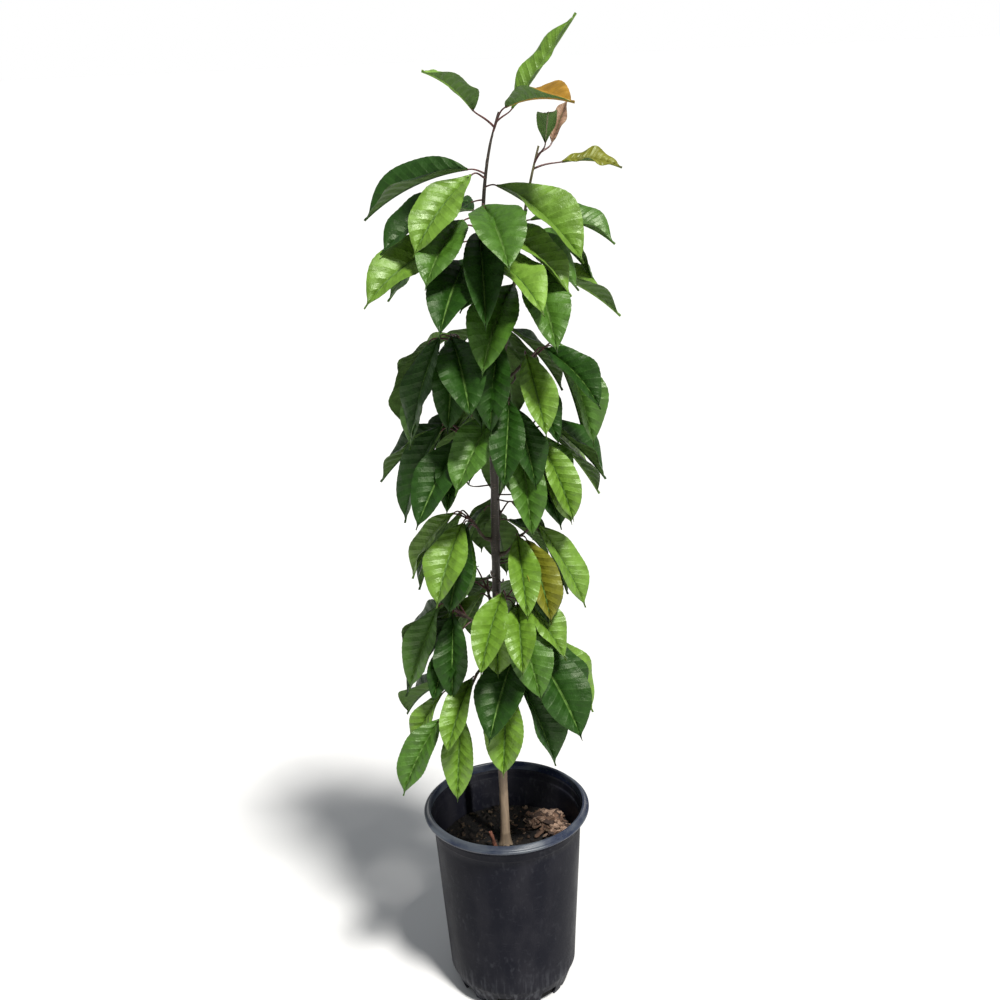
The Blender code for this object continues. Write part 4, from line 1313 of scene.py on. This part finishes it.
def leaf_finish(name, colour, roughness, sheen):
    # A satiny blade with paler veins, a little mottled, pitted and swollen between its veins.
    made, tree, shader = new_finish(name, colour, roughness)
    shader.inputs["Specular IOR Level"].default_value = sheen
    shader.inputs["Specular Tint"].default_value = LEAF_SHEEN_TINT
    place = add_node(tree, "ShaderNodeUVMap", uv_map="blade").outputs["UV"]
    sockets = {"Vector": place, "Side Veins": SIDE_VEINS, "Rake": VEIN_RAKE}
    veins = add_node(tree, "ShaderNodeGroup", sockets, node_tree=LEAF_VEINS).outputs
    cells = patches(tree, object_place(tree), 70.0)
    tinted = mixed(tree, cells, *[lighter(colour, share) for share in LEAF_MOTTLING])
    pale = [1.5 * channel + added for channel, added in zip(colour[:3], VEIN_PALENESS)]
    lined = mixed(tree, times(tree, veins["Lines"], VEIN_COVER), tinted, (*pale, 1.0))
    tree.links.new(lined, shader.inputs["Base Color"])
    tree.links.new(spread(tree, cells, roughness - 0.05, roughness + 0.09), shader.inputs["Roughness"])
    pits = patches(tree, object_place(tree), 700.0, 0.2, 0.8)
    swells = patches(tree, object_place(tree), 75.0, 0.2, 0.8)
    grain = maths(tree, "ADD", times(tree, pits, 0.12), times(tree, swells, 0.55))
    add_bump(tree, shader, maths(tree, "ADD", veins["Height"], grain), 1.0, 0.0015)
    return made


def woody(name, colour, roughness):
    # Young bark, flecked darker and lighter.
    made, tree, shader = new_finish(name, colour, roughness)
    flecks = patches(tree, object_place(tree), 240.0)
    flecked = mixed(tree, flecks, lighter(colour, 0.7), lighter(colour, 1.5))
    tree.links.new(flecked, shader.inputs["Base Color"])
    add_bump(tree, shader, flecks, 0.4, 0.0004)
    return made


def make_leaves(kept):
    # One piece for each mass, whose last finish is that of the leaves' undersides.
    pattern = leaf_pattern()
    finishes = {tone: leaf_finish(*words) for tone, words in LEAF_FINISHES.items()}
    for index, (name, leaves) in enumerate(kept.items()):
        rng = random.Random(LEAF_SEED + index)
        tones = sorted({tone for plan, tone in leaves}) + ["u"]
        bm = bmesh.new()
        bm.loops.layers.uv.new("blade")
        for plan, tone in leaves:
            add_leaf(bm, pattern, plan, tones.index(tone), len(tones) - 1, rng)
        used = [finishes[tone] for tone in tones]
        finish_piece(name + "_leaves", bm, used, [name], SOFT_CREASE)
    bpy.data.meshes.remove(pattern)


def make_spurs(spurs):
    # Spurs grown on from inside the trunk.
    runs = []
    for run in spurs:
        inside = run[0] + (run[0] - run[1]).normalized() * TRUNK_TOP_RADIUS
        foot = [share * STEM_RADII[0] for share in SPUR_FOOT_SWELL]
        runs.append(([inside] + run, foot + even_steps(*STEM_RADII, len(run))[1:]))
    bm = round_limbs(runs, 10)
    bmesh.ops.subdivide_edges(bm, edges=[e for e in bm.edges if e.calc_length() > 0.006], cuts=3)
    roughen_bark(bm)
    finish_piece("spurs", bm, [woody("spur_bark", SPUR_BARK, 0.65)], crease=SOFT_CREASE)


def make_twigs():
    # Short bare twigs among the leaves, each ending in a bud.
    rng = random.Random(TWIG_SEED)
    radii = [TWIG_ROOT_RADIUS, *even_steps(*TWIG_RADII, TWIG_POINTS - 3), *BUD_RADII]
    runs = []
    for low, high, count in TWIG_ZONES:
        for k in range(count):
            bearing = rng.uniform(*TWIG_BEARINGS)
            start = trunk_centre(rng.uniform(low, high))
            reach = rng.uniform(*TWIG_REACH)
            out = polar(bearing, 1.0, 0.0)
            tip = start + out * reach + Vector((0, 0, reach * rng.uniform(0.1, 0.9)))
            curve = (start, start + out * 0.5 * reach, tip - Vector((0, 0, 0.5 * reach)), tip)
            runs.append((bezier_run(curve, 0.0, 1.0, TWIG_POINTS), radii))
    bm = round_limbs(runs, 6)
    roughen_bark(bm)
    finish_piece("bare_twigs", bm, [woody("twig_bark", TWIG_BARK, 0.6)], crease=SOFT_CREASE)


def make_stalks(kept):
    # Each leaf's stalk from its spur into its blade, stouter towards its root the longer it is.
    stalks = []
    for leaves in kept.values():
        for plan, tone in leaves:
            node, base, heading, pitch, length, bend = plan[:6]
            curve = petiole_curve(node, base, direction(heading, pitch + bend / 2))
            in_blade = base + direction(heading, pitch + bend * 0.45) * 0.06 * length
            run = bezier_run(curve, 0.0, 1.0, STALK_POINTS) + [in_blade]
            swell = STALK_SWELL * min(1.0, (base - node).length / LONG_STALK)
            last = STALK_POINTS - 2
            radii = [PETIOLE_RADIUS + swell * (1.0 - k / last) for k in range(last + 1)]
            stalks.append((run, radii + [*STALK_TIP_RADII]))
    bm = round_limbs(stalks, 6)
    finish_piece("leaf_stalks", bm, [woody("stalk_red", STALK_RED, 0.45)], crease=SOFT_CREASE)


leaves_by_mass, spur_lines = grow_crown()
make_trunk([row[1] for row in MASSES])
make_second_shoot()
make_leaves(leaves_by_mass)
make_spurs(spur_lines)
make_twigs()
make_stalks(leaves_by_mass)

# Floor, light and camera
# A plain pale floor under a soft sky, with one broad soft key light from high at the right front.
# The camera stands at eye height some 1.9 m in front and looks down at the pot.
CAMERA_PLACE = (0.012, -1.87, 1.520)
CAMERA_PITCH = 19.5
CAMERA_ROLL = -2.6
CAMERA_FOCUS = 1320.0
FRAME_PIXELS = 1000.0
FLOOR_SIZE = 160.0
FLOOR_COLOUR = (0.66, 0.66, 0.66, 1.0)
SKY_COLOUR = (0.92, 0.96, 1.00, 1.0)
SKY_STRENGTH = 0.34
BACKDROP_COLOUR = (1.0, 1.0, 1.0, 1.0)
KEY_STRENGTH = 5.2
KEY_COLOUR = (1.0, 0.98, 0.94)
KEY_ANGLE = 9.0
KEY_BEARING = -58.0
KEY_ELEVATION = 62.0
LOW_LAMP_PLACE = (1.05, -1.65, 1.22)
LOW_LAMP_AIM = (0.0, 0.0, 0.350)
LOW_LAMP_POWER = 210.0
LOW_LAMP_CONE = 4.6
LOW_LAMP_BLEND = 0.6
LOW_LAMP_RADIUS = 0.06


def make_floor():
    bm = bmesh.new()
    bmesh.ops.create_grid(bm, x_segments=1, y_segments=1, size=FLOOR_SIZE / 2)
    floor = placed("floor", mesh_from("floor", bm))
    floor.data.materials.append(new_finish("pale_floor", FLOOR_COLOUR, 0.7)[0])


def add_lamp(name, kind, power, towards):
    # A lamp that stands in the given direction from what it lights.
    lamp = placed(name, bpy.data.lights.new(name, kind))
    lamp.data.energy = power
    lamp.data.color = KEY_COLOUR
    lamp.rotation_euler = towards.to_track_quat("Z", "Y").to_euler()
    return lamp


def make_lights():
    # The sky lights the plant more weakly than the plain backdrop that the camera sees.
    world = bpy.data.worlds.new("studio")
    world.use_nodes = True
    tree = world.node_tree
    seen = tree.nodes.new("ShaderNodeLightPath").outputs["Is Camera Ray"]
    shade = tree.nodes["Background"]
    tree.links.new(mixed(tree, seen, SKY_COLOUR, BACKDROP_COLOUR), shade.inputs["Color"])
    tree.links.new(spread(tree, seen, SKY_STRENGTH, 1.0), shade.inputs["Strength"])
    bpy.context.scene.world = world
    key = add_lamp("key_light", "SUN", KEY_STRENGTH, direction(KEY_BEARING, KEY_ELEVATION))
    key.data.angle = math.radians(KEY_ANGLE)
    back = Vector(LOW_LAMP_PLACE) - Vector(LOW_LAMP_AIM)
    low = add_lamp("low_light", "SPOT", LOW_LAMP_POWER, back)
    low.data.spot_size = math.radians(LOW_LAMP_CONE)
    low.data.spot_blend = LOW_LAMP_BLEND
    low.data.shadow_soft_size = LOW_LAMP_RADIUS
    low.location = LOW_LAMP_PLACE


def make_camera():
    lens = bpy.data.cameras.new("camera")
    lens.sensor_width = 36.0
    lens.lens = lens.sensor_width * CAMERA_FOCUS / FRAME_PIXELS
    camera = placed("camera", lens)
    tilt = Matrix.Rotation(math.radians(90.0 - CAMERA_PITCH), 4, "X")
    roll = Matrix.Rotation(math.radians(CAMERA_ROLL), 4, "Z")
    camera.matrix_world = Matrix.Translation(CAMERA_PLACE) @ (tilt @ roll)
    bpy.context.scene.camera = camera


make_floor()
make_lights()
make_camera()
bpy.context.scene.view_settings.view_transform = "Standard"
